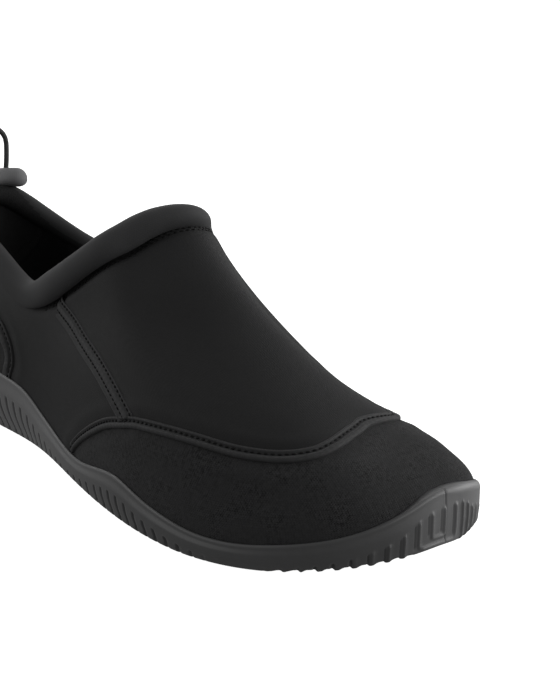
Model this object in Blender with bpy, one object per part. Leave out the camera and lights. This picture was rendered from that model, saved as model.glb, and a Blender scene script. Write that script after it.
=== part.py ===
"""Water shoe for the right foot.

A rubber cup sole with a ribbed side, a hollow neoprene upper, a padded collar, raised seams,
a thin insole and a cord pull loop at the heel. Lengths are in millimetres until a mesh is made.
X runs from heel to toe, Y to the inner side of the foot and Z up.
"""
import bmesh
import bpy
import numpy as np

MILLIMETRE = 0.001

# Stations around the foot, from the toe tip along the outer side to the heel and back along the inner side.
# edge: where the upper meets the sole, in plan. collar: middle of the padded collar, and roll is its radius.
# rise: how far the wall climbs before it turns in. run and dip: length and fall of the slope under the collar.
# fox: height of the top of the sole's side wall.
STATION_FIELDS = (
    "edge_x", "edge_y", "collar_x", "collar_y", "collar_z", "roll", "rise", "run", "dip", "fox")
STATIONS = {
    "toe_tip":           (283.5, 14.0, 158.3, 4.6, 98.7, 5.2, 35.5, 76.0, 47.0, 27.2),
    "toe_front_outer":   (280.5, -13.5, 154.5, -6.8, 98.7, 5.2, 38.5, 67.0, 44.0, 20.0),
    "toe_outer":         (244.5, -44.2, 145.1, -19.3, 92.2, 5.2, 42.0, 55.0, 43.0, 9.0),
    "ball_outer":        (184.8, -49.0, 135.3, -27.8, 83.7, 5.1, 40.0, 34.0, 46.0, 14.4),
    "waist_front_outer": (146.0, -42.3, 116.4, -32.2, 70.1, 4.8, 34.0, 22.0, 60.0, 10.3),
    "waist_outer":       (103.4, -34.6, 93.1, -30.8, 61.0, 4.5, 29.0, 18.0, 75.0, 18.0),
    "heel_outer":        (40.0, -32.4, 41.2, -23.8, 72.2, 4.5, 27.0, 18.0, 85.0, 27.3),
    "heel_corner_outer": (12.0, -19.6, 17.0, -16.0, 77.0, 5.0, 27.0, 18.0, 85.0, 28.0),
    "heel_back":         (4.0, 0.0, 8.0, 0.0, 84.7, 5.4, 29.0, 18.0, 85.0, 30.0),
    "heel_corner_inner": (12.0, 19.0, 17.0, 15.8, 75.7, 5.0, 27.0, 18.0, 85.0, 29.0),
    "heel_inner":        (40.0, 33.0, 41.0, 24.8, 65.5, 4.0, 27.0, 18.0, 85.0, 26.0),
    "waist_inner":       (110.0, 30.0, 93.0, 29.0, 63.0, 4.2, 30.0, 18.0, 75.0, 17.0),
    "waist_front_inner": (160.0, 38.0, 119.0, 30.0, 72.0, 4.6, 36.5, 20.8, 58.5, 14.0),
    "ball_inner":        (210.5, 44.0, 137.5, 26.7, 83.5, 5.0, 30.2, 49.0, 48.5, 15.3),
    "toe_inner":         (256.0, 42.8, 148.2, 18.4, 92.2, 5.2, 29.3, 79.0, 54.0, 14.8),
    "toe_front_inner":   (278.8, 32.0, 154.8, 12.1, 96.5, 5.2, 46.5, 98.0, 53.8, 23.3),
}
WALL_LEAN = 4.2

# Sole
TOE_SPRING = 6.6
SPRING_START_X = 222.0
TOE_END_X = 288.0
HEEL_THICKNESS = 13.0
FOREFOOT_THICKNESS = 5.0
HEEL_END_X = 60.0
FOREFOOT_START_X = 165.0
ARCH_HEIGHT = 3.0
ARCH_MIDDLE_X = 125.0
ARCH_HALF_LENGTH = 38.0
RIM_CLEARANCE = 0.7
LIP_WIDTH = 1.2
LIP_ROUND = 1.7
WALL_OUT = {"lip": 2.4, "shoulder": 3.6, "rib_top": 4.3, "rib": 4.4, "foot": 4.1, "tread": 2.8}
FOOT_ROUND = 1.2
RIB_DEPTH = 1.1
RIB_TOP_MARGIN = 8.0
GROOVE_HALF_WIDTH = 0.0036
TREAD_DEPTH = 1.4

# Grooves along each side, as fractions of the way from toe tip to heel back: first, last and how many.
GROOVE_GROUPS = {
    "toe": (0.0090, 0.1140, 7),
    "front": (0.1450, 0.2400, 4),
    "forefoot": (0.2650, 0.4450, 11),
    "waist": (0.4750, 0.5300, 3),
    "heel": (0.5550, 0.9850, 25),
}

# Upper and what lies on it
UPPER_WALL = 2.2
GAP = 0.35
INSOLE_THICKNESS = 3.0
INSOLE_INSET = 0.9
UPPER_COLUMNS = 42
UPPER_ROWS = 9
CUFF_COLUMNS = 64
CUFF_SEGMENTS = 8
PIPING_WIDTH = 3.4
PIPING_HEIGHT = 1.1
PIPING_LIFT = 0.45

# Seam paths: fraction around the foot (below 0 on the inner side of the toe) and height.
TOE_BAND_PATH = (
    (-0.252, 18.5), (-0.230, 26.0), (-0.205, 32.5), (-0.180, 36.8), (-0.150, 38.9), (-0.120, 39.2),
    (-0.090, 38.4), (-0.065, 38.4), (-0.040, 39.2), (-0.022, 40.4), (-0.008, 41.7), (0.010, 42.2),
    (0.028, 41.7), (0.044, 40.5), (0.058, 39.2), (0.078, 38.3), (0.100, 38.4), (0.124, 39.4),
    (0.150, 39.4), (0.178, 38.2), (0.198, 35.8), (0.218, 32.3), (0.244, 25.5), (0.268, 17.9), (0.280, 13.9))
SIDE_OUTER_PATH = (
    (0.270, 61.5), (0.252, 58.3), (0.238, 54.4), (0.218, 49.6), (0.204, 44.9), (0.193, 40.2))
SIDE_INNER_PATH = (
    (0.746, 60.0), (0.763, 57.5), (0.776, 54.0), (0.795, 49.5), (0.808, 45.0), (0.818, 40.8))
HEEL_PATH = (
    (0.368, 25.5), (0.366, 30.3), (0.368, 37.0), (0.375, 42.5), (0.384, 45.8), (0.402, 49.5), (0.430, 54.0),
    (0.470, 58.0), (0.516, 60.0), (0.558, 58.0), (0.596, 54.0), (0.624, 49.5), (0.639, 45.8), (0.648, 42.5),
    (0.654, 37.0), (0.656, 30.3), (0.654, 24.0))

# Heel pull loop
CORD_DIAMETER = 2.1
LOOP_HALF_WIDTH = 7.5
LOOP_HEIGHT = 21.0

COLOURS = {
    "rubber": (0.060, 0.060, 0.062, 1.0),
    "neoprene": (0.014, 0.014, 0.015, 1.0),
    "lining": (0.010, 0.010, 0.011, 1.0),
    "collar": (0.030, 0.030, 0.032, 1.0),
}

STATION_VALUES = np.array(list(STATIONS.values()))
STATION_INDEX = {field: number for number, field in enumerate(STATION_FIELDS)}


def smooth_step(low, high, x):
    """Goes from 0 at low to 1 at high without a corner."""
    t = np.clip((np.asarray(x, float) - low) / (high - low), 0.0, 1.0)
    return t * t * (3.0 - 2.0 * t)


def spline_setup(values):
    """Knots along the edge's chords, and the bending values of a closed cubic curve through all columns."""
    plan = values[:, :2]
    chord = np.linalg.norm(np.roll(plan, -1, axis=0) - plan, axis=1)
    knots = np.concatenate([[0.0], np.cumsum(chord)[:-1]])
    count = len(knots)
    slope = (np.roll(values, -1, axis=0) - values) / chord[:, None]
    matrix = np.zeros((count, count))
    right = np.zeros_like(values)
    for i in range(count):
        before = (i - 1) % count
        matrix[i, before] += chord[before]
        matrix[i, i] += 2.0 * (chord[before] + chord[i])
        matrix[i, (i + 1) % count] += chord[i]
        right[i] = 6.0 * (slope[i] - slope[before])
    return knots, chord, np.linalg.solve(matrix, right)


KNOTS, CHORDS, BENDS = spline_setup(STATION_VALUES)
PERIMETER = CHORDS.sum()
HEEL_U = KNOTS[list(STATIONS).index("heel_back")] / PERIMETER


def station(u):
    """All station columns at the fractions u around the foot."""
    s = np.mod(np.atleast_1d(u), 1.0) * PERIMETER
    i = np.searchsorted(KNOTS, s, side="right") - 1
    j = (i + 1) % len(KNOTS)
    h = CHORDS[i][:, None]
    a = (s - KNOTS[i])[:, None]
    b = h - a
    curve = (BENDS[i] * b ** 3 + BENDS[j] * a ** 3) / (6.0 * h)
    start = STATION_VALUES[i] / h - BENDS[i] * h / 6.0
    end = STATION_VALUES[j] / h - BENDS[j] * h / 6.0
    return curve + start * b + end * a


def field(values, name):
    """One named column."""
    return values[:, STATION_INDEX[name]]


def outward(u):
    """Level direction pointing out of the foot's edge."""
    step = 0.0005
    along = station(u + step)[:, :2] - station(u - step)[:, :2]
    along /= np.linalg.norm(along, axis=1)[:, None]
    return np.stack([-along[:, 1], along[:, 0]], axis=1)


def toe_spring(x):
    """Height of the sole's underside where it curves up to the toe."""
    reach = np.clip((np.asarray(x, float) - SPRING_START_X) / (TOE_END_X - SPRING_START_X), 0.0, None)
    return TOE_SPRING * reach ** 2


def arch(x, y):
    """Lift of the sole's underside on the inner side of the waist."""
    reach = np.clip(1.0 - ((np.asarray(x, float) - ARCH_MIDDLE_X) / ARCH_HALF_LENGTH) ** 2, 0.0, None)
    return ARCH_HEIGHT * reach ** 2 * smooth_step(0.0, 30.0, y)


def floor_height(x):
    """Height of the sole's floor, on which the insole and the upper stand."""
    thickness = HEEL_THICKNESS + (FOREFOOT_THICKNESS - HEEL_THICKNESS) * smooth_step(
        HEEL_END_X, FOREFOOT_START_X, x)
    return toe_spring(x) + thickness


def skin(u, v):
    """Outer face of the upper: v runs from 0 at the sole's floor to 1 at the middle of the collar roll."""
    u = np.atleast_1d(u)
    v = np.atleast_1d(v)[:, None]
    row = station(u)
    side = outward(u)
    foot = np.column_stack([row[:, 0], row[:, 1], floor_height(row[:, 0]) + GAP])
    collar = row[:, 2:5]
    low = foot + np.column_stack([side * WALL_LEAN, field(row, "rise")])
    fall = np.radians(field(row, "dip"))
    level = foot[:, :2] - collar[:, :2]
    level /= np.maximum(np.linalg.norm(level, axis=1), 1e-6)[:, None]
    slope = np.column_stack([level * np.cos(fall)[:, None], -np.sin(fall)])
    high = collar + slope * field(row, "run")[:, None]
    w = 1.0 - v
    return w ** 3 * foot + 3.0 * w * w * v * low + 3.0 * w * v * v * high + v ** 3 * collar


def skin_normal(u, v):
    """Outward direction of the upper's outer face."""
    step = 0.0008
    around = skin(u + step, v) - skin(u - step, v)
    up = skin(u, v + step) - skin(u, v - step)
    normal = np.cross(up, around)
    return normal / np.linalg.norm(normal, axis=1)[:, None]


def lifted(u, v, distance):
    """Point at a distance outside the upper's outer face."""
    return skin(u, v) + skin_normal(u, v) * distance


def climb(u):
    """Dense run of skin points up the wall at each of the fractions u, with their v."""
    v = np.linspace(0.0, 1.0, 201)
    u_all = np.repeat(u, len(v))
    points = skin(u_all, np.tile(v, len(u))).reshape(len(u), len(v), 3)
    return v, points


def v_at_height(u, z):
    """Where on the wall the skin reaches the height z."""
    v, points = climb(u)
    result = [np.interp(height, np.maximum.accumulate(line[:, 2]), v) for height, line in zip(z, points)]
    return np.array(result)


def v_under_collar(u, clearance):
    """Highest place on the wall that stays the clearance away from the collar roll."""
    v, points = climb(u)
    roll = station(np.linspace(0.0, 1.0, 400, endpoint=False))
    result = []
    for line in points:
        away = np.linalg.norm(line[:, None] - roll[None, :, 2:5], axis=2) - field(roll, "roll")
        result.append(v[np.nonzero(away.min(axis=1) > clearance)[0][-1]])
    return np.array(result)


def both_sides(fractions):
    """Fractions around the foot for the same steps along the outer and the inner side."""
    fractions = np.asarray(fractions)
    outer = fractions * HEEL_U
    inner = 1.0 - fractions * (1.0 - HEEL_U)
    return outer, inner


def around(fractions):
    """One closed walk: toe tip, outer side, heel back, inner side."""
    outer, inner = both_sides(fractions)
    return np.concatenate([outer, inner[-2:0:-1]])


def new_object(name, verts, faces, colour, roughness):
    """A named object with a plain material; verts in millimetres."""
    mesh = bpy.data.meshes.new(name)
    mesh.from_pydata([tuple(p) for p in np.asarray(verts) * MILLIMETRE], [], [tuple(f) for f in faces])
    shell = bmesh.new()
    shell.from_mesh(mesh)
    bmesh.ops.recalc_face_normals(shell, faces=shell.faces)
    shell.to_mesh(mesh)
    shell.free()
    made = bpy.data.objects.new(name, mesh)
    bpy.context.scene.collection.objects.link(made)
    add_material(made, name, colour, roughness)
    return made


def add_material(made, name, colour, roughness):
    """Plain material of its own for one object."""
    material = bpy.data.materials.new(name)
    material.use_nodes = True
    shader = material.node_tree.nodes["Principled BSDF"]
    shader.inputs["Base Color"].default_value = COLOURS[colour]
    shader.inputs["Roughness"].default_value = roughness
    made.data.materials.append(material)


def loop_faces(rows, columns, close_rows):
    """Quads between rows of closed rings; the last row joins the first if close_rows."""
    faces = []
    for i in range(rows if close_rows else rows - 1):
        for j in range(columns):
            a = i * columns + j
            b = i * columns + (j + 1) % columns
            c = ((i + 1) % rows) * columns + (j + 1) % columns
            d = ((i + 1) % rows) * columns + j
            faces.append((a, b, c, d))
    return faces


def ladder_faces(start, columns):
    """Quads across a closed ring whose two halves pair up, from one end to the other."""
    faces = []
    half = columns // 2
    for j in range(half):
        left, next_left = start + j, start + j + 1
        right, next_right = start + (columns - j) % columns, start + columns - j - 1
        quad = [left, next_left, next_right, right]
        corners = [p for k, p in enumerate(quad) if p not in quad[:k]]
        if len(corners) > 2:
            faces.append(tuple(corners))
    return faces


def shift_to_centre():
    """Plan shift that puts the origin under the middle of the sole's outline."""
    u = around(np.linspace(0.0, 1.0, 200))
    outline = sole_rows(u, np.zeros(len(u))).reshape(-1, 3)
    low = outline.min(axis=0)
    high = outline.max(axis=0)
    return np.array([-(low[0] + high[0]) / 2.0, -(low[1] + high[1]) / 2.0, 0.0])


def sole_columns():
    """Fractions along one side for the sole, and 1 where a column is the bottom of a groove."""
    steps = [0.0]
    marks = [0.0]
    for first, last, count in GROOVE_GROUPS.values():
        for middle in np.linspace(first, last, count):
            steps += [middle - GROOVE_HALF_WIDTH, middle, middle + GROOVE_HALF_WIDTH]
            marks += [0.0, 1.0, 0.0]
    steps.append(1.0)
    marks.append(0.0)
    return np.array(steps), np.array(marks)


def sole_rows(u, groove):
    """Rings of the sole, from the edge of its floor over the side wall to the edge of its underside."""
    row = station(u)
    plan = row[:, :2]
    side = outward(u)
    fox = field(row, "fox")
    base = toe_spring(plan[:, 0] + side[:, 0] * 3.0) + arch(plan[:, 0], plan[:, 1])
    floor = floor_height(plan[:, 0])

    def at(offset, z):
        return np.column_stack([plan + side * np.broadcast_to(offset, (len(u),))[:, None], z])

    def against_skin(z):
        inner = skin(u, v_at_height(u, z))
        return np.einsum("ij,ij->i", inner[:, :2] - plan, side) + RIM_CLEARANCE

    middle = 0.5 * (floor + fox)
    lip = against_skin(fox - 0.4)
    rib_top = np.maximum(fox - RIB_TOP_MARGIN, base + 2.0 * FOOT_ROUND)
    rib = RIB_DEPTH * groove * smooth_step(0.5, 4.0, rib_top - base - 1.0)
    return np.array([
        at(RIM_CLEARANCE, floor),
        at(against_skin(middle), middle),
        at(lip, fox - 0.4),
        at(np.maximum(lip + LIP_WIDTH, WALL_OUT["lip"]), fox),
        at(np.maximum(lip + LIP_WIDTH + 1.0, WALL_OUT["shoulder"]), fox - LIP_ROUND),
        at(WALL_OUT["rib_top"], rib_top),
        at(WALL_OUT["rib"] - rib, rib_top - 0.9),
        at(WALL_OUT["foot"] - rib, base + FOOT_ROUND + 0.5 * TREAD_DEPTH * groove),
        at(WALL_OUT["tread"] - rib, base + TREAD_DEPTH * groove),
    ])


def build_outsole(shift):
    steps, marks = sole_columns()
    u = around(steps)
    groove = np.concatenate([marks, marks[-2:0:-1]])
    rings = sole_rows(u, groove)
    rows, columns = rings.shape[:2]
    faces = loop_faces(rows, columns, False)
    faces += ladder_faces(0, columns)
    faces += ladder_faces((rows - 1) * columns, columns)
    return new_object("outsole", rings.reshape(-1, 3) + shift, faces, "rubber", 0.55)


def upper_columns():
    """Even steps along one side, drawn together at the toe and heel where the plan turns."""
    t = np.linspace(0.0, 1.0, UPPER_COLUMNS + 1)
    return t - 0.055 * np.sin(2.0 * np.pi * t)


def build_upper(shift):
    u = around(upper_columns())
    columns = len(u)
    top = v_under_collar(u, GAP + 0.1)
    outer = []
    inner = []
    for k in np.linspace(0.0, 1.0, UPPER_ROWS):
        v = np.maximum(top * k, 0.002)
        outer.append(lifted(u, v, 0.0))
        inner.append(lifted(u, v, -UPPER_WALL))
    floor = floor_height(station(u)[:, 0]) + GAP
    outer[0][:, 2] = floor
    inner[0][:, 2] = floor
    rings = np.array(outer + inner[::-1])
    faces = loop_faces(len(rings), columns, True)
    return new_object("upper", rings.reshape(-1, 3) + shift, faces, "neoprene", 0.9)


def build_insole(shift):
    u = around(upper_columns())
    columns = len(u)
    floor = floor_height(station(u)[:, 0]) + GAP
    rings = []
    for height in (0.0, INSOLE_THICKNESS):
        v = v_at_height(u, floor + height)
        ring = lifted(u, np.maximum(v, 0.002), -UPPER_WALL - INSOLE_INSET)
        ring[:, 2] = floor + height
        rings.append(ring)
    faces = loop_faces(2, columns, False)
    faces += ladder_faces(0, columns)
    faces += ladder_faces(columns, columns)
    return new_object("insole", np.concatenate(rings) + shift, faces, "lining", 0.95)


def build_cuff(shift):
    fine = np.linspace(0.0, 1.0, 1000)
    reach = np.linalg.norm(np.diff(station(fine)[:, 2:5], axis=0), axis=1)
    length = np.concatenate([[0.0], np.cumsum(reach)])
    u = np.interp(np.linspace(0.0, length[-1], CUFF_COLUMNS, endpoint=False), length, fine)
    row = station(u)
    middle = row[:, 2:5]
    along = np.roll(middle, -1, axis=0) - np.roll(middle, 1, axis=0)
    along /= np.linalg.norm(along, axis=1)[:, None]
    inward = np.cross(along, np.array([0.0, 0.0, 1.0]))
    inward /= np.linalg.norm(inward, axis=1)[:, None]
    up = np.cross(inward, along)
    radius = field(row, "roll")[:, None]
    rings = []
    for angle in np.arange(CUFF_SEGMENTS) * 2.0 * np.pi / CUFF_SEGMENTS:
        rings.append(middle + radius * (np.cos(angle) * inward + np.sin(angle) * up))
    faces = loop_faces(CUFF_SEGMENTS, CUFF_COLUMNS, True)
    return new_object("collar_cuff", np.concatenate(rings) + shift, faces, "collar", 0.9)


def path_points(path, count):
    """Even points of a smooth curve through the path's rows, as fractions around the foot and up the wall."""
    knots = np.array(path)
    last = len(knots) - 1
    fine = np.linspace(0.0, last, 12 * last)
    tangent = np.gradient(knots, axis=0)
    i = np.clip(fine.astype(int), 0, last - 1)
    s = (fine - i)[:, None]
    curve = ((2 * s ** 3 - 3 * s ** 2 + 1) * knots[i] + (s ** 3 - 2 * s ** 2 + s) * tangent[i]
             + (3 * s ** 2 - 2 * s ** 3) * knots[i + 1] + (s ** 3 - s ** 2) * tangent[i + 1])
    u = curve[:, 0]
    v = v_at_height(u, curve[:, 1])
    reach = np.linalg.norm(np.diff(skin(u, v), axis=0), axis=1)
    length = np.concatenate([[0.0], np.cumsum(reach)])
    wanted = np.linspace(0.0, length[-1], count)
    return np.interp(wanted, length, u), np.interp(wanted, length, v)


def build_piping(name, path, count, shift):
    """A low raised strip that follows a path on the upper's outer face."""
    u, v = path_points(path, count)
    middle = skin(u, v)
    normal = skin_normal(u, v)
    along = np.gradient(middle, axis=0)
    along /= np.linalg.norm(along, axis=1)[:, None]
    across = np.cross(normal, along)
    across /= np.linalg.norm(across, axis=1)[:, None]
    half = PIPING_WIDTH / 2.0
    top = PIPING_LIFT + PIPING_HEIGHT
    section = ((-half, PIPING_LIFT), (half, PIPING_LIFT), (0.55 * half, top), (-0.55 * half, top))
    corners = len(section)
    verts = np.stack([middle + across * a + normal * b for a, b in section], axis=1).reshape(-1, 3)
    faces = [tuple(range(corners))[::-1], tuple(range((count - 1) * corners, count * corners))]
    for i in range(count - 1):
        for k in range(corners):
            a = i * corners + k
            b = i * corners + (k + 1) % corners
            faces.append((a, b, b + corners, a + corners))
    return new_object(name, verts + shift, faces, "neoprene", 0.9)


def build_pull_loop(shift):
    heel = station(np.array([HEEL_U]))[0]
    crown = heel[4] + heel[5]
    foot_z = crown + GAP - 0.2
    straight = LOOP_HEIGHT - LOOP_HALF_WIDTH
    points = [(LOOP_HALF_WIDTH, z) for z in np.linspace(0.0, straight, 4)]
    for angle in np.radians(np.arange(18.0, 180.0, 18.0)):
        points.append((LOOP_HALF_WIDTH * np.cos(angle), straight + LOOP_HALF_WIDTH * np.sin(angle)))
    points += [(-LOOP_HALF_WIDTH, z) for z in np.linspace(straight, 0.0, 4)]
    curve = bpy.data.curves.new("heel_pull_loop", "CURVE")
    curve.dimensions = "3D"
    curve.bevel_depth = CORD_DIAMETER / 2.0 * MILLIMETRE
    curve.bevel_resolution = 2
    curve.use_fill_caps = True
    spline = curve.splines.new("POLY")
    spline.points.add(len(points) - 1)
    for slot, (y, z) in zip(spline.points, points):
        place = np.array([heel[2], y, foot_z + z]) + shift
        slot.co = (*(place * MILLIMETRE), 1.0)
    made = bpy.data.objects.new("heel_pull_loop", curve)
    bpy.context.scene.collection.objects.link(made)
    add_material(made, "heel_pull_loop", "neoprene", 0.8)
    return made


def main():
    for made in list(bpy.data.objects):
        bpy.data.objects.remove(made, do_unlink=True)
    shift = shift_to_centre()
    build_outsole(shift)
    build_insole(shift)
    build_upper(shift)
    build_cuff(shift)
    build_piping("toe_band_piping", TOE_BAND_PATH, 58, shift)
    build_piping("side_piping_outer", SIDE_OUTER_PATH, 16, shift)
    build_piping("side_piping_inner", SIDE_INNER_PATH, 16, shift)
    build_piping("heel_piping", HEEL_PATH, 40, shift)
    build_pull_loop(shift)


main()
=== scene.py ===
"""Water shoe for the right foot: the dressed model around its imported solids, with floor, lights and camera.

Lengths are in millimetres until a mesh is made.
X runs from heel to toe, Y to the inner side of the foot, Z up.
"""
import math

import bmesh
import bpy
import numpy as np
from bpy.props import FloatProperty, FloatVectorProperty, PointerProperty
from mathutils import Matrix


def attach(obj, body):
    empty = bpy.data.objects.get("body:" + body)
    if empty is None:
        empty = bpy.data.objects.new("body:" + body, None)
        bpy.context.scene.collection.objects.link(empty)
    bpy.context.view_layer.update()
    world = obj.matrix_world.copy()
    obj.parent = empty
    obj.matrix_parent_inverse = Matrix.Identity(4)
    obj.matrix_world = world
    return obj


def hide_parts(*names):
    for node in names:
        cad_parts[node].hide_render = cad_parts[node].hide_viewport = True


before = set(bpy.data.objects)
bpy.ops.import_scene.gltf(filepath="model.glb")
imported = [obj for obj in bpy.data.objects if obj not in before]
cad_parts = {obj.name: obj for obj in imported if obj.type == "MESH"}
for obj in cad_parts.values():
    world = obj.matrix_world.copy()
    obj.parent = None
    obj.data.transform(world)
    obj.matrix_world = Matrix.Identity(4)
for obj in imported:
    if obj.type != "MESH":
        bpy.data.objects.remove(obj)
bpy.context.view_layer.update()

bl_info = {
    "name": "Water Shoe",
    "version": (1, 0, 0),
    "blender": (4, 5, 0),
    "location": "View3D > Sidebar > Water Shoe",
    "description": "Builds a neoprene water shoe with a ribbed rubber sole",
    "category": "Object",
}

BODY = "root"
MILLIMETRE = 0.001
ORIGIN_SHIFT = np.array([-143.88954, 2.77274, 0.0])

# Stations around the foot, from the toe tip along the outer side to the heel and back along the inner side.
# edge: where the upper meets the sole, in plan. collar: middle of the padded collar, and roll is its radius.
# rise: how far the wall climbs before it turns in. run and dip: length and fall of the slope under the
# collar. fox: height of the top of the sole's side wall.
STATION_FIELDS = (
    "edge_x", "edge_y", "collar_x", "collar_y", "collar_z", "roll", "rise", "run", "dip", "fox")
STATIONS = {
    "toe_tip":           (283.5, 14.0, 158.3, 4.6, 98.7, 5.2, 35.5, 76.0, 47.0, 27.2),
    "toe_front_outer":   (280.5, -13.5, 154.5, -6.8, 98.7, 5.2, 38.5, 67.0, 44.0, 20.0),
    "toe_outer":         (244.5, -44.2, 145.1, -19.3, 92.2, 5.2, 42.0, 55.0, 43.0, 9.0),
    "ball_outer":        (184.8, -49.0, 135.3, -27.8, 83.7, 5.1, 40.0, 34.0, 46.0, 14.4),
    "waist_front_outer": (146.0, -42.3, 116.4, -32.2, 70.1, 4.8, 34.0, 22.0, 60.0, 10.3),
    "waist_outer":       (103.4, -34.6, 93.1, -30.8, 61.0, 4.5, 29.0, 18.0, 75.0, 18.0),
    "heel_outer":        (40.0, -32.4, 41.2, -23.8, 72.2, 4.5, 27.0, 18.0, 85.0, 27.3),
    "heel_corner_outer": (12.0, -19.6, 17.0, -16.0, 77.0, 5.0, 27.0, 18.0, 85.0, 28.0),
    "heel_back":         (4.0, 0.0, 8.0, 0.0, 84.7, 5.4, 29.0, 18.0, 85.0, 30.0),
    "heel_corner_inner": (12.0, 19.0, 17.0, 15.8, 75.7, 5.0, 27.0, 18.0, 85.0, 29.0),
    "heel_inner":        (40.0, 33.0, 41.0, 24.8, 65.5, 4.0, 27.0, 18.0, 85.0, 26.0),
    "waist_inner":       (110.0, 30.0, 93.0, 29.0, 63.0, 4.2, 30.0, 18.0, 75.0, 17.0),
    "waist_front_inner": (160.0, 38.0, 119.0, 30.0, 72.0, 4.6, 36.5, 20.8, 58.5, 14.0),
    "ball_inner":        (210.5, 44.0, 137.5, 26.7, 83.5, 5.0, 30.2, 49.0, 48.5, 15.3),
    "toe_inner":         (256.0, 42.8, 148.2, 18.4, 92.2, 5.2, 29.3, 79.0, 54.0, 14.8),
    "toe_front_inner":   (278.8, 32.0, 154.8, 12.1, 96.5, 5.2, 46.5, 98.0, 53.8, 23.3),
}
STATION_VALUES = np.array(list(STATIONS.values()))
STATION_INDEX = {field: number for number, field in enumerate(STATION_FIELDS)}
WALL_LEAN = 4.2
GAP = 0.35
RIM_OUT = 3.1
RIM_SWELL_MOST = 3.4
TOE_DRAW = 0.95
TOE_DRAW_START = (-0.125, -0.085)
TOE_DRAW_END = (0.035, 0.10)
TOE_DRAW_AT = 0.42
TOE_DRAW_REACH = 0.16
RIM_SWELL_END = (-0.04, 0.14)
RIM_LEAN = 50.0
RIM_LEAN_BY = 0.42
RIM_STEPS = 721
HEIGHT_STEPS = 201
PATH_STEPS = 12
LOWEST_V = 0.002
TABLE_SOFTNESS = 0.008

# Sole
TOE_SPRING = 6.6
SPRING_START_X = 222.0
TOE_END_X = 288.0
HEEL_THICKNESS = 13.0
FOREFOOT_THICKNESS = 5.0
HEEL_END_X = 60.0
FOREFOOT_START_X = 165.0
ARCH_HEIGHT = 3.0
ARCH_MIDDLE_X = 125.0
ARCH_HALF_LENGTH = 38.0
ARCH_SIDE = (0.0, 30.0)
SPRING_AHEAD = 3.0
RIM_CLEARANCE = 0.08
LIP_WIDTH = 0.9
CROWN_LEAST = 0.09
LIP_ROUND = 1.2
TIP_LIP_ROUND = 2.6
LIP_DROP = 0.3
# Painted highlight, with lower roughness, on the sole's lip, and the share of it on the long sides.
LIP_GLOSS_AND_HIGHLIGHT = 0.8
SIDE_LIP_GLOSS_AND_HIGHLIGHT = 0.25
LIP_GROOVE_BELOW = 2.0
LIP_GROOVE_WIDTH = 0.35
LIP_GROOVE_DEPTH = 0.06
SHOULDER_OUT = 3.9
TIP_SHOULDER_EXTRA = 1.0
SHOULDER_REACH = (0.0, 0.35)
WALL_OUT = 4.4
SIDE_WALL_EXTRA = 0.45
FOOT_INSET = 0.3
FOOT_INSET_REACH = (0.6, 1.0)
FOOT_ROUND = 1.3
SIDE_FOOT_ROUND = 2.8
TOE_FOOT_ROUND = 1.8
TIP_FOOT_EXTRA = 3.6
FOOT_ROUND_DRAW = 0.95
TIP_WALL_EXTRA = 0.5
LIP_ROWS = 6
WALL_ROWS = 28
FOOT_ROWS = 12
TREAD_STEPS = 18
TREAD_DEPTH = 1.4
TREAD_FLANKS = (0.45, 1.25)
TREAD_ENDS = (0.04, 0.14)
SPINE_FLANKS = (0.035, 0.055)
SPINE_SHARE = 0.5
TREAD_EDGE_DEPTH = 0.95
LUG_HALF_WIDTH = 1.0
LUG_FLANKS = (0.5, 1.9)
LUG_ON_WALL = 0.35
SLOT_TOP_MARGIN = 8.0
SIDE_SLOT_RAISE = 1.7
TOE_SLOT_RAISE = 2.5
TOE_SLOT_NARROW = 0.48
TOE_SLOT_SHALLOW = 0.50
INNER_SLOT_NARROW = 0.12
INNER_SLOT_SHALLOW = 0.2
LOOP_SLOT_LIFT = 2.0
SLOT_RUN_OUT = 3.0
SLOT_ROOM = (0.6, 3.0)
SLOT_FLANKS = (0.10, 1.15)
# A painted highlight in a thin ring around each slot, weaker by the toe's ribs: where it lies, how wide it
# is, and how much weaker.
SLOT_RIM_AT = 1.1
SLOT_RIM_WIDTH = 0.35
TOE_RIM_LESS = 0.6
FOOT_SLOT_LESS = 0.4
TOE_BAND_HEIGHT = 3.3
SLOT_LEAN = 0.03
SLOT_CURL = 0.028
SIDE_SLOT_WIDEN = 0.2
PARTING_U = 0.0010
PARTING_HALF_WIDTH = 0.28
PARTING_DEPTH = 0.40
PARTING_COLUMNS = (-2.0, -1.0, 0.0, 1.0, 2.0)
COLUMN_STEP = 1.7
SLOT_COLUMNS = (-1.45, -1.15, -0.92, -0.68, -0.42, -0.13, 0.13, 0.42, 0.68, 0.92, 1.15, 1.45)
RIB_COLUMNS = (-2.55, -2.2, -1.9, -1.65, 1.65, 1.9, 2.2, 2.55)

# Where forms of the side wall begin or end, as fractions of the way from toe tip to heel back.
TOE_END = (0.030, 0.062)
TIP_END = (0.0, 0.075)
GROOVE_END = (0.04, 0.11)
RIBS_END = (0.045, 0.125)
TOE_SLOTS_END = (0.07, 0.135)
LUGS_END = (0.165, 0.19)
SIDE_START = (0.16, 0.26)
BALL_END = (0.50, 0.58)
CURL_START = (0.20, 0.30)
CURL_END = (0.90, 0.985)

# The same in millimetres around the edge from the toe tip, below 0 on the inner side.
INNER_TIP_START = (-84.0, -39.0)
INNER_TIP_END = (-7.0, 4.0)
INNER_FOOT_END = (-16.0, -4.0)
INNER_TOE_END = (-2.0, 0.0)
LOOP_SLOT_START = (-1.0, 0.0)
LOOP_SLOT_END = (8.6, 9.6)

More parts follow.
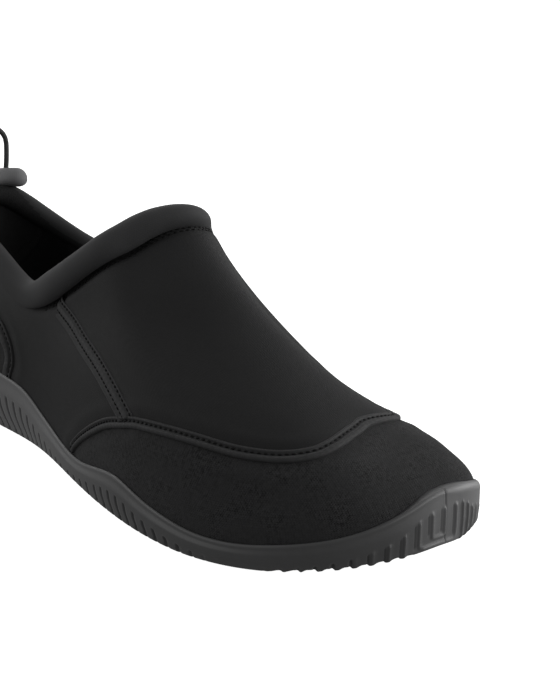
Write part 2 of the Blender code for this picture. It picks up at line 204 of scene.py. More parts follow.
# Small rises of the sole's wavy top edge over its smooth run, by fraction around the foot.
FOX_LIFTS = (
    (0.0, -0.7), (0.008, -0.7), (0.016, -1.1), (0.024, -1.5), (0.032, -1.3), (0.045, -0.7), (0.060, -0.1),
    (0.075, 0.7), (0.090, 1.2), (0.105, 1.0), (0.120, 0.6), (0.140, 0.0), (0.176, 0.1), (0.190, 1.0),
    (0.2035, 1.9), (0.214, 1.7), (0.235, 0.7), (0.255, 0.0), (0.322, 0.2), (0.335, 0.9), (0.345, 1.9),
    (0.355, 1.8), (0.365, 1.3), (0.380, 0.2), (0.400, 0.0), (0.980, 0.0), (0.990, -0.1), (1.0, -0.7))
FOX_LIFT_SOFTNESS = 0.003

# Slots along each side, as fractions of the way from toe tip to heel back: first, last and how many.
SLOT_GROUPS = {
    "toe": (0.0075, 0.1217, 8),
    "front": (0.1380, 0.2487, 8),
    "forefoot": (0.2650, 0.4450, 11),
    "waist": (0.4680, 0.5300, 4),
    "heel": (0.5550, 0.9850, 25),
}

# Where the slots of the inner side stand, next to those of the outer side: closer together at the toe.
INNER_SIDE_PLACES = (
    (0.0, 0.0), (0.0075, 0.0085), (0.0238, 0.0192), (0.0401, 0.0278), (0.0565, 0.036), (0.0728, 0.045),
    (0.0891, 0.0555), (0.1054, 0.068), (0.1217, 0.083), (0.30, 0.285), (0.50, 0.50), (1.0, 1.0))

# Painted light and shade on the rubber, by fraction from the toe tip: a factor on its colour, paler where
# light falls and darker where shade falls.
RUBBER_PAINTED_LIGHT = (
    (-0.30, 1.0), (-0.12, 1.3), (-0.020, 1.80), (0.0, 1.65), (0.008, 1.45), (0.020, 1.12), (0.035, 0.82),
    (0.090, 0.94), (0.160, 0.88), (0.200, 0.88), (0.250, 1.0), (0.290, 1.18), (0.315, 1.40), (0.340, 1.45),
    (0.500, 1.0))
PAINTED_LIGHT_SOFTNESS = 0.002
# Painted shade on the sole's rounded lower edge: its colour factor, and the share of the foot's rows over
# which it comes in.
UNDERSIDE_PAINTED_SHADE = 0.22
UNDERSIDE_SHADE_REACH = (0.2, 0.8)

# Ribs beside the slots of the toe. Two pairs of ribs join below into loops: middle and half width along the
# edge from the toe tip, height of the loop's bottom over the sole's underside, and radius of its corners.
RIB_BESIDE = 1.42
RIB_HALF_WIDTH = 0.58
RIB_HEIGHT = 0.75
RIB_TOP = (-0.8, 0.3)
RIB_FLANKS = (0.3, 1.4)
TOE_LOOPS = ((3.8, 2.7, 4.6, 1.0), (4.1, 7.75, 1.9, 2.2))
LOOPS_FROM = -5.0
LOOPS_TO = 13.8

# Upper and collar. Ripples and puckers are waves, each with its height, its length and its start.
UPPER_COLUMNS = 230
COLUMN_DRAW = 0.055
UPPER_ROWS = 84
TUCK_ROWS = 12
SINK_ROWS = 3
SINK_LENGTH = 1.8
SINK_DEPTH = 0.8
TUCK_REACH = 5.0
TUCK_DIP = 2.4
TUCK_DIP_REACH = 2.6
TUCK_DIP_LEAST = 0.35
TUCK_DIP_START = (0.02, 0.10)
LINING_SWELL = (0.6, 1.0)
LINING_ROWS = 30
COLLAR_COLUMNS = 460
COLLAR_STEPS = 44
COLLAR_CORE_STEPS = 5
COLLAR_CORE_RISE = 0.6
COLLAR_STEP_DRAW = 0.10
COLLAR_FINE_STEPS = 2000
COLLAR_SWELL_FROM = 0.30
# Painted light on the collar's plain part: how much lighter than the neoprene it is.
COLLAR_SIDE_PAINTED_LIGHT = 1.35
COLLAR_FULLNESS = 0.36
COLLAR_FULL_AT = 0.295
COLLAR_FULL_REACH = 0.045
COLLAR_RIPPLES = ((0.03, 17.3, 0.0), (0.02, 7.9, 1.0))
INNER_TUCK_ANGLE = 62.0
TUCK_OVERLAP = 9.0
INNER_FACE_ANGLE = 160.0
HEEL_FACE_LESS = 60.0
HEEL_FACE_REACH = 0.03
FACE_FADE = 0.6
HEEL_TAB_HALF = 0.0185
HEEL_TAB_TOP = 95.6
HEEL_TAB_RADIUS = 5.2
HEEL_TAB_FLATNESS = 0.74
HEEL_TAB_END_FLATNESS = 1.0
HEEL_TAB_STEPS = 36
HEEL_TAB_CAP_STEPS = 9
HEEL_TAB_SIDES = 32
HEEL_TAB_TIP = 0.02

# How far the crease under the collar roll is there, from 0 to 1, by fraction around the foot.
COLLAR_CREASES = (
    (0.000, 1.0), (0.284, 1.0), (0.339, 0.0), (0.440, 0.0), (0.475, 0.6), (0.557, 0.6), (0.592, 0.0),
    (0.672, 0.0), (0.730, 1.0), (1.000, 1.0))

# Depth of the roll below its middle, in radii, by fraction from the toe tip.
COLLAR_STRETCHES = (
    (-0.26, 1.10), (-0.05, 0.86), (0.0, 0.74), (0.02, 0.78), (0.06, 1.10), (0.106, 1.34), (0.15, 1.26),
    (0.20, 1.18), (0.30, 1.20))

# How far the collar roll lies inside the upper's outer face, in radii, along the inner side of the throat.
COLLAR_INSETS = (
    (-0.26, 0.0), (-0.20, 0.70), (-0.16, 0.92), (-0.05, 0.90), (-0.02, 0.60), (0.0, 0.25), (0.02, 0.03),
    (0.03, 0.0))
INSET_TUCK = 0.22

# Seam paths: fraction around the foot (below 0 on the inner side of the toe) and height.
TOE_BAND_PATH = (
    (-0.270, 10.5), (-0.252, 18.5), (-0.230, 26.0), (-0.205, 32.0), (-0.180, 35.6), (-0.155, 37.0),
    (-0.130, 37.0), (-0.100, 36.0), (-0.075, 35.4), (-0.055, 35.7), (-0.040, 36.8), (-0.030, 38.1),
    (-0.020, 39.7), (-0.008, 41.1), (0.006, 41.8), (0.016, 41.4), (0.028, 40.8), (0.044, 39.5),
    (0.058, 38.2), (0.078, 37.1), (0.100, 37.1), (0.124, 38.1), (0.150, 38.2), (0.178, 37.0), (0.198, 34.4),
    (0.218, 30.8), (0.2415, 24.2), (0.2605, 17.5), (0.272, 11.5))
SIDE_OUTER_PATH = (
    (0.2759, 62.6), (0.270, 61.5), (0.252, 58.3), (0.238, 54.4), (0.218, 49.6), (0.204, 44.9), (0.1945, 40.9),
    (0.1915, 39.5), (0.1880, 37.8))
SIDE_INNER_PATH = (
    (0.732, 62.6), (0.746, 60.0), (0.763, 57.5), (0.776, 54.0), (0.795, 49.5), (0.808, 45.0), (0.818, 40.8),
    (0.8215, 39.0))
HEEL_PATH = (
    (0.3695, 21.0), (0.366, 29.0), (0.368, 37.0), (0.375, 42.5), (0.384, 45.8), (0.402, 49.5), (0.430, 54.0),
    (0.470, 58.0), (0.516, 60.0), (0.558, 58.0), (0.596, 54.0), (0.624, 49.5), (0.639, 45.8), (0.648, 42.5),
    (0.654, 37.0), (0.656, 29.0), (0.653, 21.0))
LINING_TAPE_PATH = ((0.556, 71.5), (0.552, 66.0), (0.545, 60.0), (0.536, 54.0), (0.526, 48.0), (0.518, 40.0))

# Sections of the raised seams: how far across the seam, and how high over the upper.
BAND_SECTION = (
    (-1.20, -0.30), (-1.13, 0.24), (-0.90, 0.66), (-0.52, 0.92), (-0.10, 1.00), (0.30, 0.92), (0.63, 0.66),
    (0.84, 0.34), (1.02, 0.10), (1.30, 0.02), (1.72, 0.02), (1.97, 0.16), (2.17, 0.40), (2.47, 0.50),
    (2.77, 0.40), (3.00, 0.12), (3.12, -0.30))
BAND_WIDEN = 0.28
BAND_WIDE_AT = 0.020
BAND_WIDE_REACH = 0.060
HEEL_SECTION = (
    (-2.90, -0.30), (-2.80, 0.30), (-2.50, 0.76), (-1.95, 1.02), (-1.20, 1.12), (-0.50, 1.08),
    *BAND_SECTION[4:])
HEEL_SECTION_SHIFT = -3.2
SIDE_SECTION = (
    (-4.35, -0.30), (-4.22, 0.20), (-3.98, 0.50), (-3.66, 0.54), (-3.38, 0.22), (-2.95, 0.04), (-1.55, 0.02),
    (-1.30, 0.24), (-1.05, 0.56), (-0.60, 0.78), (0.00, 0.84), (0.60, 0.78), (1.05, 0.56), (1.30, 0.24),
    (1.60, 0.02), (2.10, 0.00), (2.60, 0.02), (2.85, 0.14), (3.10, 0.20), (3.35, 0.10), (3.45, -0.30))
TAPE_SECTION = ((-2.0, -0.3), (-1.9, 0.25), (-1.2, 0.55), (0.0, 0.62), (1.2, 0.55), (1.9, 0.25), (2.0, -0.3))
SECTION_FLOOR = -0.5
END_SLANT = 0.60
END_SLANT_REACH = 8.0
FOOT_FLATNESS = 0.75
FOOT_FLAT_REACH = (-0.5, 3.5)
SEAM_STEP = 0.7
SEAM_PUCKERS = ((0.07, 2.4, 0.0), (0.05, 9.1, 0.0))
BAND_STITCH_ACROSS = (1.50,)
SIDE_STITCH_ACROSS = (-1.82, 2.15)
STITCH_LIFT = 0.16
STITCH_BALL = {"Segments": 8, "Rings": 6, "Radius": 0.5}
TUCK_STITCH_BELOW = (0.2, 1.5)
TUCK_STITCH_SPAN = (-0.258, 0.300)
TUCK_STITCH_STEPS = 300
TUCK_STITCH_LIFT = 0.11
SEAM_RECESS = 0.45
SEAM_RECESS_REACH = 3.5
SEAM_RELIEF_STEP = 2.0
SEAM_PUFF = 0.30
SEAM_PUFF_AT = 6.5
SEAM_PUFF_WIDTH = 2.4

# Insole and heel loop. Each ring of the insole has its depth below the top and its inset.
INSOLE_THICKNESS = 3.0
INSOLE_INSET = 0.5
INSOLE_RINGS = ((INSOLE_THICKNESS, 0.0), (1.0, 0.0), (0.3, 0.3), (0.0, 1.0))
INSOLE_STEPS = 14
INSOLE_COLUMNS = 120
INSOLE_HOLLOW = 0.5
LOOP_HALF_WIDTH = 7.8
LOOP_PINCH = 1.0
LOOP_HEIGHT = 21.0
LOOP_FOOT = 2.4
LOOP_SIDES = 14
LOOP_STEPS = 150
LOOP_LEG_STEPS = 6
LOOP_BEND_STEP = 18.0
LOOP_SMOOTHING = 6

# Raised seams: path, section, the side it faces, its shift across, the slant of its far end, its rows of
# stitches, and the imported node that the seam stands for.
SEAMS = {
    "toe_band_tape": (TOE_BAND_PATH, BAND_SECTION, 1.0, 0.0, 0.0, BAND_STITCH_ACROSS, "toe_band_piping"),
    "side_tape_outer": (
        SIDE_OUTER_PATH, SIDE_SECTION, -1.0, 0.0, END_SLANT, SIDE_STITCH_ACROSS, "side_piping_outer"),
    "side_tape_inner": (
        SIDE_INNER_PATH, SIDE_SECTION, 1.0, 0.0, END_SLANT, SIDE_STITCH_ACROSS, "side_piping_inner"),
    "heel_counter_tape": (
        HEEL_PATH, HEEL_SECTION, 1.0, HEEL_SECTION_SHIFT, 0.0, BAND_STITCH_ACROSS, "heel_piping"),
}

# Cloth panels of the upper: how soft their borders are, where the heel counter ends, and where painted light
# makes the cloth paler near the collar and the throat.
PANEL_BORDER = 0.8
VAMP_BORDER = 0.003
HEEL_PANEL_LEAST = 45.0
HEEL_PANEL_START = (0.364, 0.368)
HEEL_PANEL_END = (0.652, 0.656)
PAINTED_LIGHT_SIDE = (36.0, 62.0)
PAINTED_LIGHT_VAMP = (68.0, 92.0)
PAINTED_LIGHT_VAMP_SHARE = 0.85
NOWHERE = -99.0

# Stage, in metres
SOFTBOXES = {
    "left": (-1.15, -1.00, 0.70), "right": (0.80, 1.20, 0.70), "edge": (0.25, 1.60, 0.45),
    "front": (1.45, 0.55, 0.60), "back": (-1.40, 0.35, 0.90)}
SOFTBOX_SIZE = (1.2, 0.9)
SOFTBOX_AIM = (0.0, 0.0, 0.05)
SENSOR_WIDTH = 36.0
NEAREST_SEEN = 0.01
FARTHEST_SEEN = 100.0
UPWARD = np.array([0.0, 0.0, 1.0])

# Finishes: a shade of 1 is the plain colour, and the brightest shade is a multiple of that.
BLACK = (0.0, 0.0, 0.0, 1.0)
WHITE = (1.0, 1.0, 1.0, 1.0)
BRIGHTEST = 2.0
RUBBER_BRIGHTEST = 2.5
FULL_TURN = 2.0 * math.pi


# Form of the shoe

def smooth_step(low, high, x):
    """Goes from 0 at low to 1 at high without a corner."""
    t = np.clip((np.asarray(x, float) - low) / (high - low), 0.0, 1.0)
    return t * t * (3.0 - 2.0 * t)


def ends(span, x):
    """Goes from 1 at the low end of a span to 0 at its high end."""
    return 1.0 - smooth_step(*span, x)


def bump(x, middle, width):
    """A soft hump of height 1."""
    return np.exp(-((np.asarray(x, float) - middle) / width) ** 2)


def waves(place, rows):
    """Sum of sine waves, each with its height, its length and its start."""
    return sum(height * np.sin(place * FULL_TURN / length + start) for height, length, start in rows)


def spline_setup(values):
    """Knots along the edge's chords, and the bending values of a closed cubic curve through all columns."""
    plan = values[:, :2]
    chord = np.linalg.norm(np.roll(plan, -1, axis=0) - plan, axis=1)
    knots = np.concatenate([[0.0], np.cumsum(chord)[:-1]])
    count = len(knots)
    slope = (np.roll(values, -1, axis=0) - values) / chord[:, None]
    matrix = np.zeros((count, count))
    right = np.zeros_like(values)
    for i in range(count):
        before = (i - 1) % count
        matrix[i, before] += chord[before]
        matrix[i, i] += 2.0 * (chord[before] + chord[i])
        matrix[i, (i + 1) % count] += chord[i]
        right[i] = 6.0 * (slope[i] - slope[before])
    return knots, chord, np.linalg.solve(matrix, right)


KNOTS, CHORDS, BENDS = spline_setup(STATION_VALUES)
PERIMETER = CHORDS.sum()
HEEL_U = KNOTS[list(STATIONS).index("heel_back")] / PERIMETER
SIDE_LENGTHS = {"outer": HEEL_U * PERIMETER, "inner": (1.0 - HEEL_U) * PERIMETER}


def station(u):
    """All station columns at the fractions u around the foot."""
    s = np.mod(np.atleast_1d(u), 1.0) * PERIMETER
    i = np.searchsorted(KNOTS, s, side="right") - 1
    j = (i + 1) % len(KNOTS)
    h = CHORDS[i][:, None]
    a = (s - KNOTS[i])[:, None]
    b = h - a
    curve = (BENDS[i] * b ** 3 + BENDS[j] * a ** 3) / (6.0 * h)
    start = STATION_VALUES[i] / h - BENDS[i] * h / 6.0
    end = STATION_VALUES[j] / h - BENDS[j] * h / 6.0
    return curve + start * b + end * a


def from_toe(u):
    """Fraction around the foot counted from the toe tip, negative on the inner side."""
    turn = np.mod(u, 1.0)
    return np.where(turn > HEEL_U, turn - 1.0, turn)


def field(values, name):
    """One named column."""
    return values[:, STATION_INDEX[name]]


def unit(vectors):
    """The same directions with length 1."""
    return vectors / np.maximum(np.linalg.norm(vectors, axis=-1), 1e-9)[..., None]


def outward(u):
    """Level direction pointing out of the foot's edge."""
    step = 0.0005
    along = unit(station(u + step)[:, :2] - station(u - step)[:, :2])
    return np.stack([-along[:, 1], along[:, 0]], axis=1)


def toe_spring(x):
    """Height of the sole's underside where it curves up to the toe."""
    reach = np.clip((np.asarray(x, float) - SPRING_START_X) / (TOE_END_X - SPRING_START_X), 0.0, None)
    return TOE_SPRING * reach ** 2


def arch(x, y):
    """Lift of the sole's underside on the inner side of the waist."""
    reach = np.clip(1.0 - ((np.asarray(x, float) - ARCH_MIDDLE_X) / ARCH_HALF_LENGTH) ** 2, 0.0, None)
    return ARCH_HEIGHT * reach ** 2 * smooth_step(*ARCH_SIDE, y)


def floor_height(x):
    """Height of the sole's floor, on which the insole and the upper stand."""
    thickness = HEEL_THICKNESS + (FOREFOOT_THICKNESS - HEEL_THICKNESS) * smooth_step(
        HEEL_END_X, FOREFOOT_START_X, x)
    return toe_spring(x) + thickness


def bare_skin(u, v):
    """Plain form of the upper: v runs from 0 at the sole's floor to 1 at the middle of the collar roll."""
    u = np.atleast_1d(u)
    v = np.atleast_1d(v)[:, None]
    row = station(u)
    side = outward(u)
    foot = np.column_stack([row[:, 0], row[:, 1], floor_height(row[:, 0]) + GAP])
    collar = row[:, 2:5]
    low = foot + np.column_stack([side * WALL_LEAN, field(row, "rise")])
    fall = np.radians(field(row, "dip"))
    level = unit(foot[:, :2] - collar[:, :2])
    slope = np.column_stack([level * np.cos(fall)[:, None], -np.sin(fall)])
    high = collar + slope * field(row, "run")[:, None]
    w = 1.0 - v
    return w ** 3 * foot + 3.0 * w * w * v * low + 3.0 * w * v * v * high + v ** 3 * collar


def soft_table(table, place, reach=TABLE_SOFTNESS):
    """Values of a table of places and values, with its corners rounded."""
    places, values = np.array(table).T
    steps = (-2, -1, 0, 1, 2)
    return sum(np.interp(place + k * reach, places, values) for k in steps) / len(steps)


def fox_height(u):
    """Height of the sole's top edge."""
    return field(station(u), "fox") + soft_table(FOX_LIFTS, np.mod(u, 1.0), FOX_LIFT_SOFTNESS)


def v_at_height(u, z, face=None):
    """Where on the wall the skin, or another face, reaches the height z."""
    v = np.linspace(0.0, 1.0, HEIGHT_STEPS)
    points = (face or skin)(np.repeat(u, len(v)), np.tile(v, len(u))).reshape(len(u), len(v), 3)
    heights = np.maximum.accumulate(points[:, :, 2], axis=1)
    return np.array([np.interp(height, line, v) for height, line in zip(z, heights)])


def rim_table():
    """Around the foot: the swell that brings the upper out to the sole's rim, and the rim's place."""
    u = np.linspace(0.0, 1.0, RIM_STEPS)
    row = station(u)
    v = v_at_height(u, fox_height(u), bare_skin)
    reach = np.einsum("ij,ij->i", bare_skin(u, v)[:, :2] - row[:, :2], outward(u))
    return u, np.clip(RIM_OUT - reach, 0.0, RIM_SWELL_MOST), v


RIM = rim_table()


def rim_swell(u, v):
    """How far the upper swells out over the sole's rim, and draws in where the toe rises to the vamp."""
    places, most, heights = RIM
    turn = np.mod(u, 1.0)
    rim = np.interp(turn, places, heights)
    low = ends(RIM_SWELL_END, v - rim)
    toe = smooth_step(*TOE_DRAW_START, from_toe(u)) * ends(TOE_DRAW_END, from_toe(u))
    return np.interp(turn, places, most) * low - TOE_DRAW * toe * bump(v, TOE_DRAW_AT, TOE_DRAW_REACH)


def skin(u, v):
    """Outer face of the upper."""
    u = np.atleast_1d(u)
    v = np.broadcast_to(np.atleast_1d(v), u.shape)
    lean = np.radians(RIM_LEAN) * np.minimum(v / RIM_LEAN_BY, 1.0)
    way = np.column_stack([outward(u) * np.cos(lean)[:, None], np.sin(lean)])
    return bare_skin(u, v) + rim_swell(u, v)[:, None] * way


def skin_normal(u, v):
    """Outward direction of the upper's outer face."""
    step = 0.0008
    around_step = skin(u + step, v) - skin(u - step, v)
    up_step = skin(u, v + step) - skin(u, v - step)
    return unit(np.cross(up_step, around_step))


def lifted(u, v, distance):
    """Point at a distance outside the upper's outer face."""
    return skin(u, v) + skin_normal(u, v) * np.broadcast_to(distance, np.shape(u))[:, None]


def around(fractions):
    """One closed walk: toe tip, outer side, heel back, inner side."""
    outer = fractions * HEEL_U
    inner = 1.0 - fractions * (1.0 - HEEL_U)
    return np.concatenate([outer, inner[-2:0:-1]])


def path_points(path, step):
    """Even points of a smooth curve through the path's rows, as fractions around the foot and up the wall."""
    knots = np.array(path)
    last = len(knots) - 1
    fine = np.linspace(0.0, last, PATH_STEPS * last)
    tangent = np.gradient(knots, axis=0)
    i = np.clip(fine.astype(int), 0, last - 1)
    s = (fine - i)[:, None]
    curve = ((2 * s ** 3 - 3 * s ** 2 + 1) * knots[i] + (s ** 3 - 2 * s ** 2 + s) * tangent[i]
             + (3 * s ** 2 - 2 * s ** 3) * knots[i + 1] + (s ** 3 - s ** 2) * tangent[i + 1])
    u = curve[:, 0]
    v = v_at_height(u, curve[:, 1])
    reach = np.linalg.norm(np.diff(skin(u, v), axis=0), axis=1)
    length = np.concatenate([[0.0], np.cumsum(reach)])
    wanted = np.linspace(0.0, length[-1], int(length[-1] / step) + 1)
    return np.interp(wanted, length, u), np.interp(wanted, length, v), wanted


def collar_inset(u):
    """How far the collar roll lies inside the upper's outer face, in radii."""
    return soft_table(COLLAR_INSETS, from_toe(u))


def collar_crease(u):
    """How far the crease under the roll is there, from 0 to 1."""
    return soft_table(COLLAR_CREASES, np.mod(u, 1.0))


def collar_stretch(u):
    """Depth of the roll below its middle, in radii."""
    return soft_table(COLLAR_STRETCHES, from_toe(u))


def tuck_start(u):
    """Angle below the roll's middle at which the roll leaves the upper."""
    return np.arccos(np.clip(collar_inset(u) - INSET_TUCK, 0.0, 1.0))


def tuck_depth(u):
    """Depth of the crease under the roll."""
    share = TUCK_DIP_LEAST + (1.0 - TUCK_DIP_LEAST) * smooth_step(*TUCK_DIP_START, from_toe(u))
    inset = field(station(u), "roll") * (collar_inset(u) - np.cos(tuck_start(u)))
    return np.maximum(TUCK_DIP * share, inset)


def tuck_place(u):
    """Highest v of the outer face, where it meets the collar roll, and the millimetres of one v there."""
    row = station(u)
    per_v = 3.0 * field(row, "run")
    drop = field(row, "roll") * collar_stretch(u) * np.sin(tuck_start(u))
    for _ in range(3):
        v = 1.0 - drop / per_v
        per_v = np.linalg.norm(skin(u, np.ones(len(u))) - skin(u, v), axis=1) / (1.0 - v)
    return 1.0 - drop / per_v, per_v


def roll_swell(u, v):
    """How far the outer face stands out to meet the roll where there is no crease."""
    return field(station(u), "roll") * smooth_step(COLLAR_SWELL_FROM, 1.0, v)


def face_offset(u, v):
    """How far the outer face stands off the skin: down into the crease, or out to the roll."""
    v_top, per_v = tuck_place(u)
    crease = collar_crease(u)
    dip = tuck_depth(u) * bump((v_top - v) * per_v, 0.0, TUCK_DIP_REACH)
    return (1.0 - crease) * roll_swell(u, v) - crease * dip


def collar_frame(u):
    """Outward and up directions of the collar roll's section."""
    ones = np.ones(len(u))
    normal = skin_normal(u, ones)
    step = 0.0005
    climb_step = 0.002
    along = unit(station(u + step)[:, 2:5] - station(u - step)[:, 2:5])
    normal = unit(normal - np.einsum("ij,ij->i", normal, along)[:, None] * along)
    up = unit(np.cross(normal, along))
    climb = skin(u, ones) - skin(u, ones - climb_step)
    return normal, up * np.sign(np.einsum("ij,ij->i", up, climb))[:, None]


# Meshes

def metres(points):
    """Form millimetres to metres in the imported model's frame."""
    return (np.asarray(points, float) + ORIGIN_SHIFT) * MILLIMETRE


def grid_faces(rows, columns, close_rows=False, close_columns=True):
    """Quads between rows of points, and for each corner its row and its column before wrapping."""
    i, j = np.meshgrid(
        np.arange(rows if close_rows else rows - 1), np.arange(columns if close_columns else columns - 1),
        indexing="ij")
    corner_rows = np.stack([i, i, i + 1, i + 1], axis=-1).reshape(-1, 4)
    corner_columns = np.stack([j, j + 1, j + 1, j], axis=-1).reshape(-1, 4)
    faces = (corner_rows % rows) * columns + corner_columns % columns
    return faces, corner_rows, corner_columns


def new_piece(name, verts, faces, materials, corner_uv=None, face_material=None, attributes=None, sharp=None):
    """A named mesh object whose faces point outwards; verts are in millimetres."""
    mesh = bpy.data.meshes.new(name)
    mesh.from_pydata(metres(verts).tolist(), [], [list(map(int, face)) for face in faces])
    if corner_uv is not None:
        layer = mesh.uv_layers.new(name="UVMap")
        layer.uv.foreach_set("vector", np.asarray(corner_uv, np.float32).ravel())
    for key, values in (attributes or {}).items():
        layer = mesh.attributes.new(key, "FLOAT", "POINT")
        layer.data.foreach_set("value", np.asarray(values, np.float32))
    for material in materials:
        mesh.materials.append(material)
    if face_material is not None:
        mesh.polygons.foreach_set("material_index", np.asarray(face_material, np.int32))
    shell = bmesh.new()
    shell.from_mesh(mesh)
    bmesh.ops.recalc_face_normals(shell, faces=shell.faces)
    shell.to_mesh(mesh)
    shell.free()
    mesh.polygons.foreach_set("use_smooth", np.ones(len(mesh.polygons), bool))
    if sharp is not None:
        pairs = np.zeros(len(mesh.edges) * 2, np.int32)
        mesh.edges.foreach_get("vertices", pairs)
        ring = np.asarray(sharp)[pairs.reshape(-1, 2)]
        mesh.edges.foreach_set("use_edge_sharp", (ring[:, 0] == ring[:, 1]) & (ring[:, 0] > 0))
    mesh.update()
    piece = bpy.data.objects.new(name, mesh)
    bpy.context.scene.collection.objects.link(piece)
    return piece


def settle(piece, slot, *nodes):
    """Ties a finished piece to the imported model."""
    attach(piece, BODY)
    if nodes:
        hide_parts(*nodes)
    return piece


def run_length(points, axis):
    """Running length along one axis of a grid of points, starting at 0."""
    reach = np.linalg.norm(np.diff(points, axis=axis), axis=-1)
    zero = np.zeros_like(np.take(reach, [0], axis=axis))
    return np.concatenate([zero, np.cumsum(reach, axis=axis)], axis=axis)


def cloth_uv(grid):
    """UV in metres for a grid of closed rings: along each ring from the toe's middle, and up each column."""
    closed = np.concatenate([grid, grid[:, :1]], axis=1)
    along = run_length(closed, 1)
    along -= np.where(np.arange(along.shape[1]) > along.shape[1] // 2, 1.0, 0.0)[None, :] * along[:, -1:]
    up = run_length(closed, 0)
    return np.stack([along, up], axis=-1) * MILLIMETRE


def ring_piece(name, grid, materials, lined, attributes, sharp_rows):
    """A closed skin from rings of points; lined marks the places whose faces take the second material."""
    faces, corner_rows, corner_columns = grid_faces(*grid.shape[:2], close_rows=True)
    uv = cloth_uv(np.concatenate([grid, grid[:1]]))
    ring = np.zeros(grid.shape[:2], int)
    for number, row in enumerate(sharp_rows):
        ring[row] = number + 1
    return new_piece(
        name, grid.reshape(-1, 3), faces, materials, corner_uv=uv[corner_rows, corner_columns],
        face_material=lined[corner_rows[:, 0], corner_columns[:, 0]], attributes=attributes,
        sharp=ring.ravel())


def tube_piece(name, grid, girth, length, material, along_first=False):
    """A closed tube from rows of points along it, with flat ends."""
    sides, count = grid.shape[:2]
    faces, corner_rows, corner_columns = grid_faces(sides, count, close_rows=True, close_columns=False)
    starts = np.arange(sides) * count
    both = np.broadcast_arrays(girth[:, None], length[None])
    uv = np.stack(both[::-1] if along_first else both, axis=-1) * MILLIMETRE
    corner_uv = np.concatenate([uv[corner_rows, corner_columns].reshape(-1, 2), np.zeros((2 * sides, 2))])
    return new_piece(
        name, grid.reshape(-1, 3), [*faces, starts, starts + count - 1], [material], corner_uv=corner_uv)


def nearest(points, line):
    """Distance of each point to a dense line of points."""
    chunk = 4000
    parts = [points[start:start + chunk] for start in range(0, len(points), chunk)]
    return np.concatenate([np.linalg.norm(part[:, None] - line[None], axis=2).min(axis=1) for part in parts])


# Shader sheets

class Signal:
    """A socket of a shader sheet; arithmetic on it adds Math nodes."""

    def __init__(self, sheet, socket):
        self.sheet = sheet
        self.socket = socket

    def combine(self, operation, *terms):
        return self.sheet.node("ShaderNodeMath", {"operation": operation}, dict(enumerate(terms)))

    def __add__(self, other):
        return self.combine("ADD", self, other)

    def __sub__(self, other):
        return self.combine("SUBTRACT", self, other)

    def __mul__(self, other):
        return self.combine("MULTIPLY", self, other)

    __radd__ = __add__
    __rmul__ = __mul__

    def sine(self):
        return self.combine("SINE", self)

    def rise(self, low, high):
        """Soft step from 0 at low to 1 at high."""
        return self.sheet.node(
            "ShaderNodeMapRange", {"interpolation_type": "SMOOTHSTEP"},
            {"Value": self, "From Min": low, "From Max": high, "To Min": 0.0, "To Max": 1.0})


class Sheet:
    """The node tree of one material, with its Principled shader."""

    def __init__(self, name, constants):
        self.material = bpy.data.materials.new(name)
        self.material.use_nodes = True
        self.nodes = self.material.node_tree.nodes
        self.links = self.material.node_tree.links
        self.shader = self.nodes["Principled BSDF"]
        for socket, value in constants.items():
            self.shader.inputs[socket].default_value = value

    def node(self, kind, settings=None, inputs=None, output=0):
        """A node with its settings and with values or links on its sockets; returns one of its outputs."""
        made = self.nodes.new(kind)
        for key, value in (settings or {}).items():
            setattr(made, key, value)
        for socket, value in (inputs or {}).items():
            self.put(made.inputs[socket], value)
        return Signal(self, made.outputs[output])

    def put(self, socket, value):
        if isinstance(value, Signal):
            self.links.new(value.socket, socket)
        else:
            socket.default_value = value

    def place(self):
        """Place on the piece in metres."""
        return self.node("ShaderNodeTexCoord", output="Object")

    def cloth(self):
        """Distances along and up the cloth in millimetres."""
        both = self.node("ShaderNodeUVMap", {"uv_map": "UVMap"})
        split = self.nodes.new("ShaderNodeSeparateXYZ")
        self.put(split.inputs[0], both)
        return Signal(self, split.outputs[0]) * 1000.0, Signal(self, split.outputs[1]) * 1000.0

    def attribute(self, name):
        return self.node("ShaderNodeAttribute", {"attribute_name": name}, output="Fac")

    def noise(self, scale, detail=3.0, roughness=0.55, where=None):
        return self.node(
            "ShaderNodeTexNoise", None,
            {"Vector": where or self.place(), "Scale": scale, "Detail": detail, "Roughness": roughness})

    def mix(self, factor, first, second):
        """Colour between first and second."""
        made = self.nodes.new("ShaderNodeMix")
        made.data_type = "RGBA"
        self.put(made.inputs["Factor"], factor)
        for socket, value in (("A", first), ("B", second)):
            target = next(s for s in made.inputs if s.name == socket and s.type == "RGBA")
            self.put(target, value)
        return Signal(self, next(s for s in made.outputs if s.type == "RGBA"))

    def finish(self, colour, shade, roughness, height, depth, strength, brightest=BRIGHTEST):
        """Colour by shade, roughness, and a fine relief that stands depth metres; gives the material."""
        bright = colour if isinstance(colour, Signal) else shaded(colour, brightest)
        bumped = self.node(
            "ShaderNodeBump", None, {"Height": height, "Distance": depth, "Strength": strength})
        for socket, value in (
                ("Base Color", self.mix(shade.rise(0.0, brightest), BLACK, bright)), ("Roughness", roughness),
                ("Normal", bumped)):
            self.put(self.shader.inputs[socket], value)
        return self.material


def shaded(colour, factor):
    """The same colour, lighter or darker."""
    return tuple(channel * factor for channel in colour[:3]) + (1.0,)


def knit(sheet, wale, course):
    """Height of a fine jersey knit: rows of loops that lean left and right in turn."""
    across, up = sheet.cloth()
    column = (across * (FULL_TURN / wale)).sine()
    loops = (up * (FULL_TURN / course) + column * 1.7).sine()
    return loops * 0.32 + column * 0.18 + 0.5


